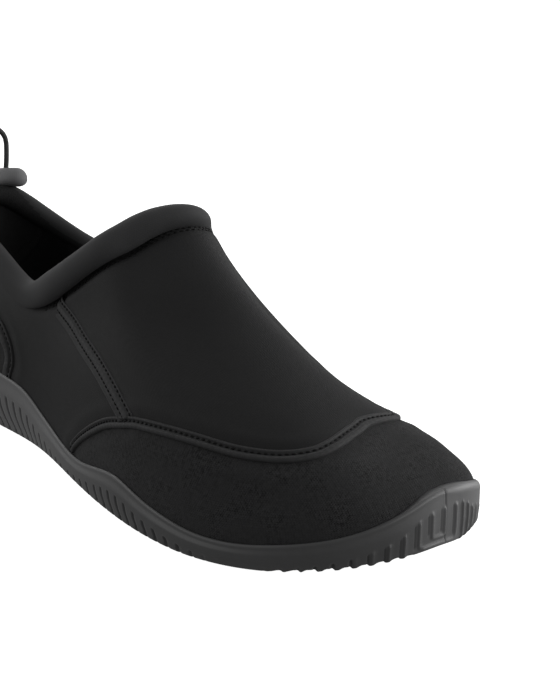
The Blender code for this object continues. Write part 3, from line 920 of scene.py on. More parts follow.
def neoprene_finish(settings):
    """Upper: jersey-faced neoprene, smooth on the vamp and with a speckled knit on the toe panel."""
    sheet = Sheet("neoprene_upper", {
        "Specular IOR Level": 0.16, "Sheen Weight": 0.012, "Sheen Roughness": 0.4})
    toe = sheet.attribute("toe_panel")
    vamp = sheet.attribute("vamp")
    heel = sheet.attribute("heel_panel")
    worn = sheet.attribute("worn")
    loops = knit(sheet, 0.95, 0.80)
    speckle = sheet.noise(820.0, 2.0, 0.7)
    broad = sheet.noise(38.0, 3.0, 0.5)
    fuzz = sheet.noise(2600.0, 1.0, 0.5)
    patches = sheet.noise(85.0, 2.0, 0.5).rise(0.36, 0.62)
    woven = toe * (0.35 + 0.65 * patches)
    # The last term paints light on the sides near the collar and on the vamp near the throat.
    shade = (0.90 + 0.20 * broad + woven * (speckle - 0.5) * 3.4
             + (loops - 0.5) * (0.12 + 0.90 * woven) - 0.12 * vamp + 0.32 * toe + 0.38 * worn)
    return sheet.finish(
        settings.neoprene, shade,
        roughness=0.74 + 0.10 * speckle + 0.06 * toe - 0.05 * vamp + 0.04 * heel,
        height=loops * (0.30 + 0.60 * woven) + fuzz * 0.25 + speckle * (0.10 + 0.55 * woven),
        depth=0.00024, strength=0.7)


def lining_finish(settings):
    """Lining: a flat dark nap with a fine grid."""
    sheet = Sheet("neoprene_lining", {"Specular IOR Level": 0.12})
    loops = knit(sheet, 1.30, 1.10)
    speckle = sheet.noise(900.0, 2.0, 0.6)
    return sheet.finish(
        settings.lining, 0.75 + 0.35 * speckle + 0.15 * loops, roughness=0.86 + 0.08 * speckle,
        height=loops * 0.6 + speckle * 0.4, depth=0.00025, strength=0.6)


def collar_finish(name, plain, padded):
    """Collar roll: the same jersey stretched smooth over padding, in its own shade on the padded part."""
    sheet = Sheet(name, {"Specular IOR Level": 0.18, "Sheen Weight": 0.015, "Sheen Roughness": 0.4})
    loops = knit(sheet, 0.95, 0.80)
    broad = sheet.noise(55.0, 3.0, 0.5)
    fuzz = sheet.noise(2200.0, 1.0, 0.5)
    colour = sheet.mix(sheet.attribute("roll"), shaded(plain, BRIGHTEST), shaded(padded, BRIGHTEST))
    return sheet.finish(
        colour, 0.90 + 0.20 * broad + 0.12 * (loops - 0.5), roughness=0.76 + 0.10 * fuzz,
        height=loops * 0.5 + fuzz * 0.3, depth=0.00018, strength=0.55)


def tape_finish(settings):
    """Seam tape: close woven binding with a slight gloss on its crown."""
    sheet = Sheet("seam_tape", {"Specular IOR Level": 0.20, "Sheen Weight": 0.01, "Sheen Roughness": 0.4})
    across, along = sheet.cloth()
    weave = (along * (FULL_TURN / 0.55)).sine() * (across * (FULL_TURN / 0.45)).sine()
    mottle = sheet.noise(420.0, 3.0, 0.6)
    return sheet.finish(
        settings.tape, 0.80 + 0.40 * mottle + 0.12 * weave, roughness=0.62 + 0.14 * mottle,
        height=weave * 0.35 + mottle * 0.5 + 0.3, depth=0.00018, strength=0.6)


def thread_finish(settings):
    """Sewing thread: twisted strands with a dull shine."""
    sheet = Sheet("sewing_thread", {"Specular IOR Level": 0.12})
    strands = sheet.noise(3600.0, 2.0, 0.6)
    return sheet.finish(
        settings.thread, 0.70 + 0.60 * strands, roughness=0.50 + 0.20 * strands, height=strands,
        depth=0.0001, strength=0.5)


def rubber_finish(settings):
    """Sole: moulded rubber with a fine matt grain, dull and with painted shade in the slots, and a little
    glossier with a painted highlight on its edges.
    """
    sheet = Sheet("sole_rubber", {"Specular IOR Level": 0.42})
    slot = sheet.attribute("slot")
    edge = sheet.attribute("edge")
    tone = sheet.attribute("tone")
    grain = sheet.noise(1900.0, 2.0, 0.6)
    mottle = sheet.noise(70.0, 4.0, 0.6)
    dust = sheet.noise(260.0, 3.0, 0.65)
    # Colour factors: painted light and shade around the sole and on its lower edge, painted shade in the
    # slots, and a painted highlight on the lip, around the slots and on the ribs.
    shade = tone * (0.86 + 0.22 * mottle + 0.12 * dust - 0.05 * slot + 0.16 * edge)
    return sheet.finish(
        settings.rubber, shade, roughness=0.50 + 0.14 * mottle + 0.10 * slot - 0.06 * edge,
        height=grain * 0.7 + dust * 0.3, depth=0.00010, strength=0.5, brightest=RUBBER_BRIGHTEST)


def insole_finish(settings):
    """Insole: brushed fabric over thin foam."""
    sheet = Sheet("insole_fabric", {"Specular IOR Level": 0.12})
    nap = sheet.noise(1100.0, 3.0, 0.65)
    patch = sheet.noise(60.0, 3.0, 0.5)
    return sheet.finish(
        settings.insole, 0.70 + 0.35 * nap + 0.25 * patch, roughness=0.86 + 0.10 * nap, height=nap,
        depth=0.00030, strength=0.6)


def cord_finish(settings):
    """Heel loop: round braided cord."""
    sheet = Sheet("loop_cord", {"Specular IOR Level": 0.25})
    across, along = sheet.cloth()
    lean = FULL_TURN / 1.1
    braid = ((along + across) * lean).sine() * ((along - across) * lean).sine()
    strands = sheet.noise(2400.0, 2.0, 0.6)
    return sheet.finish(
        settings.cord, 0.76 + 0.28 * strands + 0.22 * braid, roughness=0.55 + 0.15 * strands,
        height=braid * 0.4 + 0.4 + strands * 0.2, depth=0.00025, strength=0.7)


def floor_finish(settings):
    """Pale studio floor that glows a little, so that it stays plain."""
    sheet = Sheet("studio_floor", {
        "Base Color": settings.floor, "Roughness": 0.9, "Specular IOR Level": 0.0,
        "Emission Color": WHITE, "Emission Strength": settings.floor_glow})
    return sheet.material


# Pieces of the shoe

def upper_steps(count):
    """Even steps along one side, drawn together at the toe and heel where the plan turns."""
    t = np.linspace(0.0, 1.0, count + 1)
    return t - COLUMN_DRAW * np.sin(FULL_TURN * t)


def panel_masks(u, z):
    """Where the toe panel, the vamp, the heel counter and the painted light near the collar and the throat
    are, 0 to 1.
    """
    turn = np.where(u > 0.5, u - 1.0, u)
    border = np.interp(turn, *np.array(TOE_BAND_PATH).T, left=NOWHERE, right=NOWHERE)
    toe = smooth_step(-PANEL_BORDER, PANEL_BORDER, border - z)
    outer, inner = (
        np.interp(z, *np.array(path)[::-1, ::-1].T) for path in (SIDE_OUTER_PATH, SIDE_INNER_PATH))
    vamp = smooth_step(-VAMP_BORDER, VAMP_BORDER, outer - turn)
    vamp = vamp * smooth_step(-VAMP_BORDER, VAMP_BORDER, turn - inner + 1.0)
    places, heights = np.array(HEEL_PATH).T
    top = np.interp(u, places, np.maximum(heights, HEEL_PANEL_LEAST), left=NOWHERE, right=NOWHERE)
    inside = smooth_step(*HEEL_PANEL_START, u) * ends(HEEL_PANEL_END, u)
    heel = smooth_step(-PANEL_BORDER, PANEL_BORDER, top - z) * inside
    # Painted light: the sides paler towards the collar, and the vamp paler towards the throat.
    lit_vamp = PAINTED_LIGHT_VAMP_SHARE * vamp * smooth_step(*PAINTED_LIGHT_VAMP, z)
    worn = (1.0 - toe) * ((1.0 - vamp) * smooth_step(*PAINTED_LIGHT_SIDE, z) + lit_vamp)
    return {"toe_panel": toe, "vamp": vamp * (1.0 - toe), "heel_panel": heel, "worn": worn}


def seam_relief(points):
    """Soft recess along both sides of the seams, and the slight swell of the foam beyond it."""
    relief = np.zeros(len(points))
    for path, *_ in SEAMS.values():
        u, v, _ = path_points(path, SEAM_RELIEF_STEP)
        distance = nearest(points, skin(u, v))
        relief -= SEAM_RECESS * bump(distance, 0.0, SEAM_RECESS_REACH)
        relief += SEAM_PUFF * bump(distance, SEAM_PUFF_AT, SEAM_PUFF_WIDTH)
    return relief


def build_upper(scene):
    u = around(upper_steps(UPPER_COLUMNS))
    roll = field(station(u), "roll")
    v_top, per_v = tuck_place(u)
    v_tuck = v_top - TUCK_REACH / per_v
    wall = scene.water_shoe_sizes.wall / MILLIMETRE
    heights = [np.maximum(v_tuck * k, LOWEST_V) for k in np.linspace(0.0, 1.0, UPPER_ROWS)]
    heights += [v_tuck + (v_top - v_tuck) * k for k in np.linspace(0.0, 1.0, TUCK_ROWS + 1)[1:]]
    sinks = np.linspace(0.0, 1.0, SINK_ROWS + 1)[1:]
    heights += [v_top + SINK_LENGTH * k / per_v for k in sinks]
    flat = np.array([skin(u, v) for v in heights])
    lift = np.array([face_offset(u, np.minimum(v, v_top)) for v in heights])
    lift[-SINK_ROWS:] -= SINK_DEPTH * sinks[:, None]
    lift += seam_relief(flat.reshape(-1, 3)).reshape(lift.shape)
    outer = np.array([lifted(u, v, d) for v, d in zip(heights, lift)])
    outer[0, :, 2] = floor_height(station(u)[:, 0]) + GAP

    inner_angle = math.radians(INNER_TUCK_ANGLE)
    v_inner = 1.0 - roll * math.sin(inner_angle) / (3.0 * field(station(u), "run"))
    swell = np.maximum(roll * math.cos(inner_angle) - wall, 0.0)
    inner = []
    for k in np.linspace(1.0, 0.0, LINING_ROWS):
        v = np.maximum(v_inner * k, LOWEST_V)
        inner.append(lifted(u, v, -wall - swell * smooth_step(*LINING_SWELL, v)))
    inner = np.array(inner)
    inner[-1, :, 2] = outer[0, :, 2]
    grid = np.concatenate([outer, inner])
    top = len(outer) - 1
    lined = np.repeat(np.arange(len(grid)) >= top, len(u)).reshape(grid.shape[:2])
    colours = scene.water_shoe_colours
    piece = ring_piece(
        "upper_shell", grid, [neoprene_finish(colours), lining_finish(colours)], lined,
        panel_masks(np.tile(u, len(grid)), grid.reshape(-1, 3)[:, 2]), (top, top + 1))
    return settle(piece, "upper_neoprene", "upper")


def build_collar(scene):
    fine = np.linspace(0.0, 1.0, COLLAR_FINE_STEPS)
    length = run_length(station(fine)[:, 2:5], 0)
    place = np.linspace(0.0, length[-1], COLLAR_COLUMNS, endpoint=False)
    u = np.interp(place, length, fine)
    normal, up = collar_frame(u)
    line = station(u)[:, 2:5]
    radius = field(station(u), "roll")
    middle = line - normal * (radius * collar_inset(u))[:, None]
    crease = collar_crease(u)
    v_top, _ = tuck_place(u)
    leave = tuck_start(u)
    start = -leave - math.radians(TUCK_OVERLAP) * crease
    end = math.pi + math.radians(INNER_TUCK_ANGLE)
    grow = radius + waves(place, COLLAR_RIPPLES) * crease
    full = 1.0 + COLLAR_FULLNESS * bump(from_toe(u), COLLAR_FULL_AT, COLLAR_FULL_REACH)
    rings = []
    turns = []
    steps = np.linspace(0.0, 1.0, COLLAR_STEPS + 1)
    for k in steps - COLLAR_STEP_DRAW * np.sin(FULL_TURN * steps) / FULL_TURN:
        turn = start + (end - start) * k
        below = turn < 0.0
        rise = np.sin(turn) * np.where(below, collar_stretch(u), full)
        padded = middle + normal * (grow * np.cos(turn))[:, None] + up * (grow * rise)[:, None]
        share = np.clip(np.sin(np.clip(-turn, 0.0, 0.5 * math.pi)) / np.sin(leave), 0.0, 1.0)
        v = 1.0 - (1.0 - v_top) * share
        above = line + normal * (radius * np.cos(turn))[:, None] + up * (radius * rise)[:, None]
        plain = np.where(below[:, None], lifted(u, v, roll_swell(u, v)), above)
        rings.append(plain + (padded - plain) * crease[:, None])
        turns.append(turn)
    first = rings[0]
    last = rings[-1]
    for k in np.linspace(0.0, 1.0, COLLAR_CORE_STEPS + 2)[1:-1]:
        hump = COLLAR_CORE_RISE * radius * math.sin(math.pi * k)
        rings.append(last + (first - last) * k + up * hump[:, None])
    turns = np.array(turns + [np.full(COLLAR_COLUMNS, end)] * COLLAR_CORE_STEPS)
    lined = np.radians(INNER_FACE_ANGLE - HEEL_FACE_LESS * bump(u, HEEL_U, HEEL_FACE_REACH))
    colours = scene.water_shoe_colours
    # The collar's plain part takes the neoprene lightened with painted light, to meet the painted light on
    # the upper's sides.
    side_lit_colour = shaded(colours.neoprene, COLLAR_SIDE_PAINTED_LIGHT)
    piece = ring_piece(
        "collar_roll", np.array(rings),
        [collar_finish("neoprene_collar", side_lit_colour, colours.collar), lining_finish(colours)],
        turns > lined, {"roll": (crease * ends((-FACE_FADE, 0.0), turns - lined)).ravel()}, (0, COLLAR_STEPS))
    settle(piece, "collar_neoprene", "collar_cuff")
    return piece


def build_heel_tab(scene):
    """Short padded fold on top of the heel's collar, rounded at both ends, from which the loop comes."""
    reach = np.linspace(-HEEL_TAB_HALF, HEEL_TAB_HALF, HEEL_TAB_STEPS)
    line = station(HEEL_U + reach)[:, 2:5]
    line[:, 2] = HEEL_TAB_TOP
    along = unit(np.gradient(line, axis=0))
    caps = np.linspace(0.0, 0.5 * math.pi, HEEL_TAB_CAP_STEPS)[:-1]
    middles = np.concatenate([
        line[0] - along[0] * HEEL_TAB_RADIUS * np.cos(caps)[:, None], line[1:-1],
        line[-1] + along[-1] * HEEL_TAB_RADIUS * np.cos(caps[::-1])[:, None]])
    radii = HEEL_TAB_RADIUS * np.concatenate([np.sin(caps), np.ones(len(line) - 2), np.sin(caps[::-1])])
    radii = np.maximum(radii, HEEL_TAB_TIP)
    ways = np.concatenate([
        np.repeat(along[:1], len(caps), 0), along[1:-1], np.repeat(along[-1:], len(caps), 0)])
    side = unit(np.cross(ways, UPWARD))
    end = np.abs(np.linspace(-1.0, 1.0, len(middles))) ** 3
    flat = HEEL_TAB_FLATNESS + (HEEL_TAB_END_FLATNESS - HEEL_TAB_FLATNESS) * end
    middles[:, 2] -= HEEL_TAB_RADIUS * flat
    turns = np.arange(HEEL_TAB_SIDES + 1) * FULL_TURN / HEEL_TAB_SIDES
    grid = np.array([
        middles + radii[:, None] * (math.cos(turn) * side + flat[:, None] * math.sin(turn) * UPWARD)
        for turn in turns[:-1]])
    colour = scene.water_shoe_colours.tab
    piece = tube_piece(
        "heel_tab", grid, turns * HEEL_TAB_RADIUS, run_length(middles, 0),
        collar_finish("neoprene_tab", colour, colour), along_first=True)
    settle(piece, "collar_neoprene")
    return piece


def slot_places():
    """Fractions along a side at which the slots stand."""
    return np.concatenate([np.linspace(*group) for group in SLOT_GROUPS.values()])


def sole_steps(slot_half):
    """Fractions along one side for the sole's columns, close together at the edges of the slots."""
    length = SIDE_LENGTHS["outer"]
    ribbed = np.linspace(*SLOT_GROUPS["toe"])
    parting = PARTING_U / HEEL_U + np.array(PARTING_COLUMNS) * PARTING_HALF_WIDTH / length
    places = np.concatenate([
        [0.0, 1.0], parting,
        *(middle + np.array(SLOT_COLUMNS) * slot_half / length for middle in slot_places()),
        *(middle + np.array(RIB_COLUMNS) * slot_half / length for middle in ribbed)])
    places = np.unique(np.round(places[(places >= 0.0) & (places <= 1.0)], 6))
    steps = [places[0]]
    for place in places[1:]:
        extra = int((place - steps[-1]) * length / COLUMN_STEP)
        steps += list(np.linspace(steps[-1], place, extra + 2)[1:])
    return np.array(steps)


def sole_around(steps):
    """Fractions around the foot of the sole's columns, with the inner side's own spacing."""
    inner = np.interp(steps, *np.array(INNER_SIDE_PLACES).T)
    return np.concatenate([steps * HEEL_U, (1.0 - inner * (1.0 - HEEL_U))[-2:0:-1]])


def loop_gap(along, up, half_width, corner):
    """Distance to a loop that is open above, from its middle line and its bottom."""
    wide = np.abs(along) - half_width + corner
    low = corner - up
    outside = np.hypot(np.maximum(wide, 0.0), np.maximum(low, 0.0))
    return np.abs(outside + np.minimum(np.maximum(wide, low), 0.0) - corner)


def sole_edge(u):
    """Plan, outward direction, top and underside of the sole's side wall."""
    row = station(u)
    plan = row[:, :2]
    side = outward(u)
    base = toe_spring(plan[:, 0] + side[:, 0] * SPRING_AHEAD) + arch(plan[:, 0], plan[:, 1])
    return plan, side, fox_height(u), base


def sole_rings(u, fraction, sizes):
    """Rings of the sole from the edge of its floor over the side wall to its underside, and its masks.

    On the long sides the columns curl towards the toe as they go down, and the slots with them.
    """
    plan, side, fox, base = sole_edge(u)
    floor = floor_height(plan[:, 0])
    outer = u < HEEL_U
    length = np.where(outer, SIDE_LENGTHS["outer"], SIDE_LENGTHS["inner"])
    reach = (fraction[:, None] - slot_places()[None]) * length[:, None]
    beside = np.take_along_axis(reach, np.abs(reach).argmin(axis=1)[:, None], 1)[:, 0]
    across = np.abs(beside)
    rib_gap = np.abs(beside * np.where(outer, 1.0, -1.0) + RIB_BESIDE)
    place = from_toe(u) * PERIMETER
    half = sizes.slot_width / MILLIMETRE / 2.0

    ribbed = ends(RIBS_END, fraction)
    at_toe = ends(TOE_END, fraction)
    at_tip = ends(TIP_END, fraction)
    past_tip = ends(INNER_TIP_END, place) * smooth_step(*INNER_TIP_START, place)
    on_side = smooth_step(*SIDE_START, fraction)
    at_front = (1.0 - past_tip) * ends(GROOVE_END, fraction)
    at_ball = on_side * ends(BALL_END, fraction)
    curled = smooth_step(*CURL_START, fraction) * ends(CURL_END, fraction)
    in_loop = smooth_step(*LOOP_SLOT_START, place) * ends(LOOP_SLOT_END, place)
    at_ribs = ends(TOE_SLOTS_END, fraction)
    inner_toe = at_ribs * ends(INNER_TOE_END, place)

    slot_top = fox - SLOT_TOP_MARGIN + TOE_SLOT_RAISE * at_toe + SIDE_SLOT_RAISE * at_ball
    slot_low = base + TOE_BAND_HEIGHT * at_toe + LOOP_SLOT_LIFT * in_loop
    slot_low = slot_low - SLOT_RUN_OUT * half * (1.0 - at_toe)
    strength = smooth_step(*SLOT_ROOM, slot_top - base)
    narrow = 1.0 - TOE_SLOT_NARROW * at_ribs - INNER_SLOT_NARROW * inner_toe + SIDE_SLOT_WIDEN * on_side
    narrow = half * narrow
    depth = 1.0 - TOE_SLOT_SHALLOW * at_ribs - INNER_SLOT_SHALLOW * inner_toe
    depth = sizes.slot_depth / MILLIMETRE * depth
    tread = ends(TREAD_FLANKS, across / half)
    notch = smooth_step(*LUG_FLANKS, rib_gap / LUG_HALF_WIDTH) * (1.0 - at_toe) * ends(LUGS_END, fraction)
    foot_round = FOOT_ROUND + (SIDE_FOOT_ROUND - FOOT_ROUND) * on_side
    foot_round = foot_round + (TOE_FOOT_ROUND - FOOT_ROUND) * at_tip
    foot_round = foot_round + TIP_FOOT_EXTRA * past_tip * ends(INNER_FOOT_END, place)
    lip_round = LIP_ROUND + (TIP_LIP_ROUND - LIP_ROUND) * past_tip
    gloss_and_highlight = LIP_GLOSS_AND_HIGHLIGHT * (SIDE_LIP_GLOSS_AND_HIGHLIGHT + (1.0 - SIDE_LIP_GLOSS_AND_HIGHLIGHT) * past_tip)
    wall_out = WALL_OUT + SIDE_WALL_EXTRA * on_side + TIP_WALL_EXTRA * past_tip
    parting = PARTING_DEPTH * bump(place, PARTING_U * PERIMETER, PARTING_HALF_WIDTH)

    def against_skin(z):
        inner = skin(u, v_at_height(u, z))
        return np.einsum("ij,ij->i", inner[:, :2] - plan, side) + RIM_CLEARANCE

    def curl(z):
        drop = np.maximum(slot_top - z, 0.0)
        shift = curled * drop * (SLOT_LEAN + SLOT_CURL * drop) / PERIMETER
        return np.where(outer, u - shift, u + shift)

    def slot_mask(z):
        past = np.maximum(np.maximum(z - (slot_top - half), (slot_low + half) - z), 0.0)
        gap = np.hypot(across, past)
        rim = bump(gap, SLOT_RIM_AT * narrow, SLOT_RIM_WIDTH) * (1.0 - TOE_RIM_LESS * at_ribs)
        return ends(SLOT_FLANKS, gap / narrow) * strength, rim * strength

    def rib_mask(z):
        gap = np.where((place > LOOPS_TO) | (place < LOOPS_FROM), rib_gap, RIB_BESIDE)
        for middle, half_width, height, corner in TOE_LOOPS:
            gap = np.minimum(gap, loop_gap(place - middle, z - base - height, half_width, corner))
        return ribbed * ends(RIB_TOP, z - slot_top) * ends(RIB_FLANKS, gap / RIB_HALF_WIDTH)

    rings = []
    slots = []
    edges = []

    # The last value of each ring is a painted highlight, with lower roughness, on the lip, around the slots
    # and on the ribs.
    def add(spot, way, offset, z, slot=0.0, edge=0.0):
        rings.append(np.column_stack([spot + way * np.broadcast_to(offset, (len(u),))[:, None], z]))
        slots.append(np.broadcast_to(slot, (len(u),)))
        edges.append(np.broadcast_to(edge, (len(u),)))

    middle = 0.5 * (floor + fox)
    lip = against_skin(fox - LIP_DROP)
    shoulder = np.maximum(lip + LIP_WIDTH, SHOULDER_OUT + TIP_SHOULDER_EXTRA * past_tip)
    crown = np.maximum(lip + CROWN_LEAST, shoulder - lip_round)
    add(plan, side, against_skin(floor + GAP), floor)
    add(plan, side, against_skin(middle), middle)
    add(plan, side, lip, fox - LIP_DROP)
    for k in np.linspace(0.0, 1.0, LIP_ROWS):
        turn = 0.5 * math.pi * k
        offset = crown + (shoulder - crown) * math.sin(turn) - parting
        z = fox - lip_round * (1.0 - math.cos(turn))
        add(plan, side, offset, z, 0.0, gloss_and_highlight * math.sin(math.pi * k))
    for k in np.linspace(0.0, 1.0, WALL_ROWS + 1)[1:]:
        spot, way, top, low = sole_edge(curl(fox + (base - fox) * k))
        wall_low = low + foot_round + LUG_ON_WALL * TREAD_EDGE_DEPTH * notch
        z = (top - lip_round) * (1.0 - k) + wall_low * k
        slot, rim = slot_mask(z)
        rib = rib_mask(z)
        cut = slot * (1.0 - rib)
        groove = LIP_GROOVE_DEPTH * at_front * bump(z, top - LIP_GROOVE_BELOW, LIP_GROOVE_WIDTH)
        offset = shoulder + (wall_out - shoulder) * smooth_step(*SHOULDER_REACH, k) - groove
        offset = offset - FOOT_INSET * smooth_step(*FOOT_INSET_REACH, k) + RIB_HEIGHT * rib - depth * cut
        add(spot, way, offset - parting * (1.0 - slot), z, cut, np.maximum(rim * (1.0 - rib), rib))
    for k in np.linspace(0.0, 1.0, FOOT_ROWS)[1:]:
        turn = 0.5 * math.pi * k
        lug = LUG_ON_WALL + (1.0 - LUG_ON_WALL) * k
        z = low + foot_round * (1.0 - math.sin(turn)) + TREAD_EDGE_DEPTH * notch * lug
        inward = FOOT_INSET + FOOT_ROUND_DRAW * foot_round * (1.0 - math.cos(turn))
        rib = rib_mask(z) * (1.0 - k)
        foot_slot = cut * (1.0 - FOOT_SLOT_LESS * k)
        add(spot, way, wall_out - inward - depth * foot_slot + RIB_HEIGHT * rib, z, foot_slot, rib)
    return np.array(rings), np.array(slots), np.array(edges), notch, tread


def ladder(ring, low, fresh, steps, lift):
    """Points and quads across a closed ring whose two halves pair up.

    The ring's points count from low and the new ones from fresh. lift raises points between the ends.
    """
    columns = len(ring)
    half = columns // 2
    outer = np.arange(half + 1)
    inner = (columns - outer) % columns
    points = []
    index = np.empty((half + 1, steps + 1), int)
    index[:, 0] = low + outer
    index[:, -1] = low + inner
    for j in range(1, half):
        for k in range(1, steps):
            t = k / steps
            spot = ring[outer[j]] * (1.0 - t) + ring[inner[j]] * t
            index[j, k] = fresh + len(points)
            points.append(spot + UPWARD * lift(j, t))
    index[0, :] = low
    index[half, :] = low + half
    faces = []
    for j in range(half):
        for k in range(steps):
            quad = [index[j, k], index[j + 1, k], index[j + 1, k + 1], index[j, k + 1]]
            corners = [p for n, p in enumerate(quad) if p not in quad[:n]]
            if len(corners) > 2:
                faces.append(corners)
    return np.array(points).reshape(-1, 3), faces


def shut_rings(rings, caps):
    """Points and faces of stacked rings with caps; each cap has its row, its steps and its lift."""
    rows, columns = rings.shape[:2]
    faces = list(grid_faces(rows, columns)[0])
    verts = rings.reshape(-1, 3)
    for row, steps, lift in caps:
        points, cap = ladder(rings[row], row * columns, len(verts), steps, lift)
        verts = np.concatenate([verts, points])
        faces += cap
    return verts, faces


def level(j, t):
    """No lift anywhere."""
    return 0.0


def build_sole(scene):
    sizes = scene.water_shoe_sizes
    steps = sole_steps(sizes.slot_width / MILLIMETRE / 2.0)
    u = sole_around(steps)
    fraction = np.concatenate([steps, steps[-2:0:-1]])
    rings, slots, edges, notch, tread = sole_rings(u, fraction, sizes)
    more_lift = np.maximum(TREAD_DEPTH * tread - TREAD_EDGE_DEPTH * notch, 0.0)

    def tread_lift(j, t):
        inside = smooth_step(*TREAD_ENDS, t) * smooth_step(*TREAD_ENDS, 1.0 - t)
        spine = ends(SPINE_FLANKS, abs(t - 0.5))
        return inside * (more_lift[j] + SPINE_SHARE * TREAD_DEPTH * spine)

    verts, faces = shut_rings(rings, ((len(rings) - 1, TREAD_STEPS, tread_lift), (0, 2, level)))
    # Painted light and shade around the sole, giving way to painted shade on the lower rows of the foot's
    # rounding.
    low = smooth_step(*UNDERSIDE_SHADE_REACH, np.linspace(0.0, 1.0, FOOT_ROWS))
    low = np.concatenate([np.zeros(len(rings) - FOOT_ROWS), low])[:, None]
    tone = soft_table(RUBBER_PAINTED_LIGHT, from_toe(u), PAINTED_LIGHT_SOFTNESS)[None] * (1.0 - low) + UNDERSIDE_PAINTED_SHADE * low
    extra = len(verts) - tone.size
    masks = {"slot": (slots, 0.0), "edge": (edges, 0.0), "tone": (tone, UNDERSIDE_PAINTED_SHADE)}
    masks = {
        name: np.concatenate([mask.ravel(), np.full(extra, under)]) for name, (mask, under) in masks.items()}
    piece = new_piece(
        "sole_unit", verts, faces, [rubber_finish(scene.water_shoe_colours)], attributes=masks)
    return settle(piece, "sole_rubber", "outsole")


def build_insole(scene):
    u = around(upper_steps(INSOLE_COLUMNS))
    inside = scene.water_shoe_sizes.wall / MILLIMETRE + INSOLE_INSET
    floor = floor_height(station(u)[:, 0]) + GAP
    rings = []
    for below_top, inset in INSOLE_RINGS:
        height = floor + INSOLE_THICKNESS - below_top
        ring = lifted(u, np.maximum(v_at_height(u, height), LOWEST_V), -inside - inset)
        ring[:, 2] = height
        rings.append(ring)

    def hollow(j, t):
        return -INSOLE_HOLLOW * math.sin(math.pi * t)

    verts, faces = shut_rings(np.array(rings), ((0, 2, level), (len(rings) - 1, INSOLE_STEPS, hollow)))
    piece = new_piece("insole_pad", verts, faces, [insole_finish(scene.water_shoe_colours)])
    settle(piece, "insole_fabric", "insole")
    return piece


def seam_frame(path, inside=0.0):
    """Along a seam on the upper: its points, the ways along, across and out of it, its u and its length.

    Across the toe the seam is wider, and so is the way across it.
    """
    u, v, length = path_points(path, SEAM_STEP)
    normal = skin_normal(u, v)
    v_top, _ = tuck_place(u)
    rise = -inside if inside else face_offset(u, np.minimum(v, v_top))
    middle = lifted(u, v, rise)
    along = unit(np.gradient(middle, axis=0))
    breadth = 1.0 + BAND_WIDEN * bump(from_toe(u), BAND_WIDE_AT, BAND_WIDE_REACH)
    across = unit(np.cross(along, normal)) * breadth[:, None]
    return middle, along, across, normal, u, length


def build_tape(name, path, section, material, side=1.0, shift=0.0, slant=0.0, inside=0.0):
    """A raised seam with the given section along a path.

    side turns the section round, shift moves it across, and slant cuts its far end at an angle.
    """
    middle, along, across, normal, u, length = seam_frame(path, inside)
    facing = -1.0 if inside else 1.0
    profile = np.array([*section, (section[-1][0], SECTION_FLOOR), (section[0][0], SECTION_FLOOR)])
    above = middle[:, 2] - fox_height(u)
    pucker = (1.0 + waves(length, SEAM_PUCKERS)) * (1.0 - FOOT_FLATNESS * ends(FOOT_FLAT_REACH, above))
    end = slant * smooth_step(length[-1] - END_SLANT_REACH, length[-1], length)
    rows = []
    for a, b in profile:
        height = facing * b * (pucker if b > 0.0 else np.ones(len(length)))
        row = middle + across * ((a + shift) * side) + normal * height[:, None]
        rows.append(row + along * (a * end)[:, None])
    girth = np.concatenate([run_length(profile[:, None], 0)[:, 0], [0.0]])
    return tube_piece(name, np.array(rows), girth, length, material)


def build_tapes(scene):
    material = tape_finish(scene.water_shoe_colours)
    for name, (path, section, side, shift, slant, _, node) in SEAMS.items():
        settle(build_tape(name, path, section, material, side, shift, slant), "seam_fabric", node)


def build_lining_tape(scene):
    """Flat tape sewn over the joint of the heel's lining."""
    piece = build_tape(
        "heel_lining_tape", LINING_TAPE_PATH, TAPE_SECTION, lining_finish(scene.water_shoe_colours),
        inside=scene.water_shoe_sizes.wall / MILLIMETRE)
    return settle(piece, "upper_neoprene")


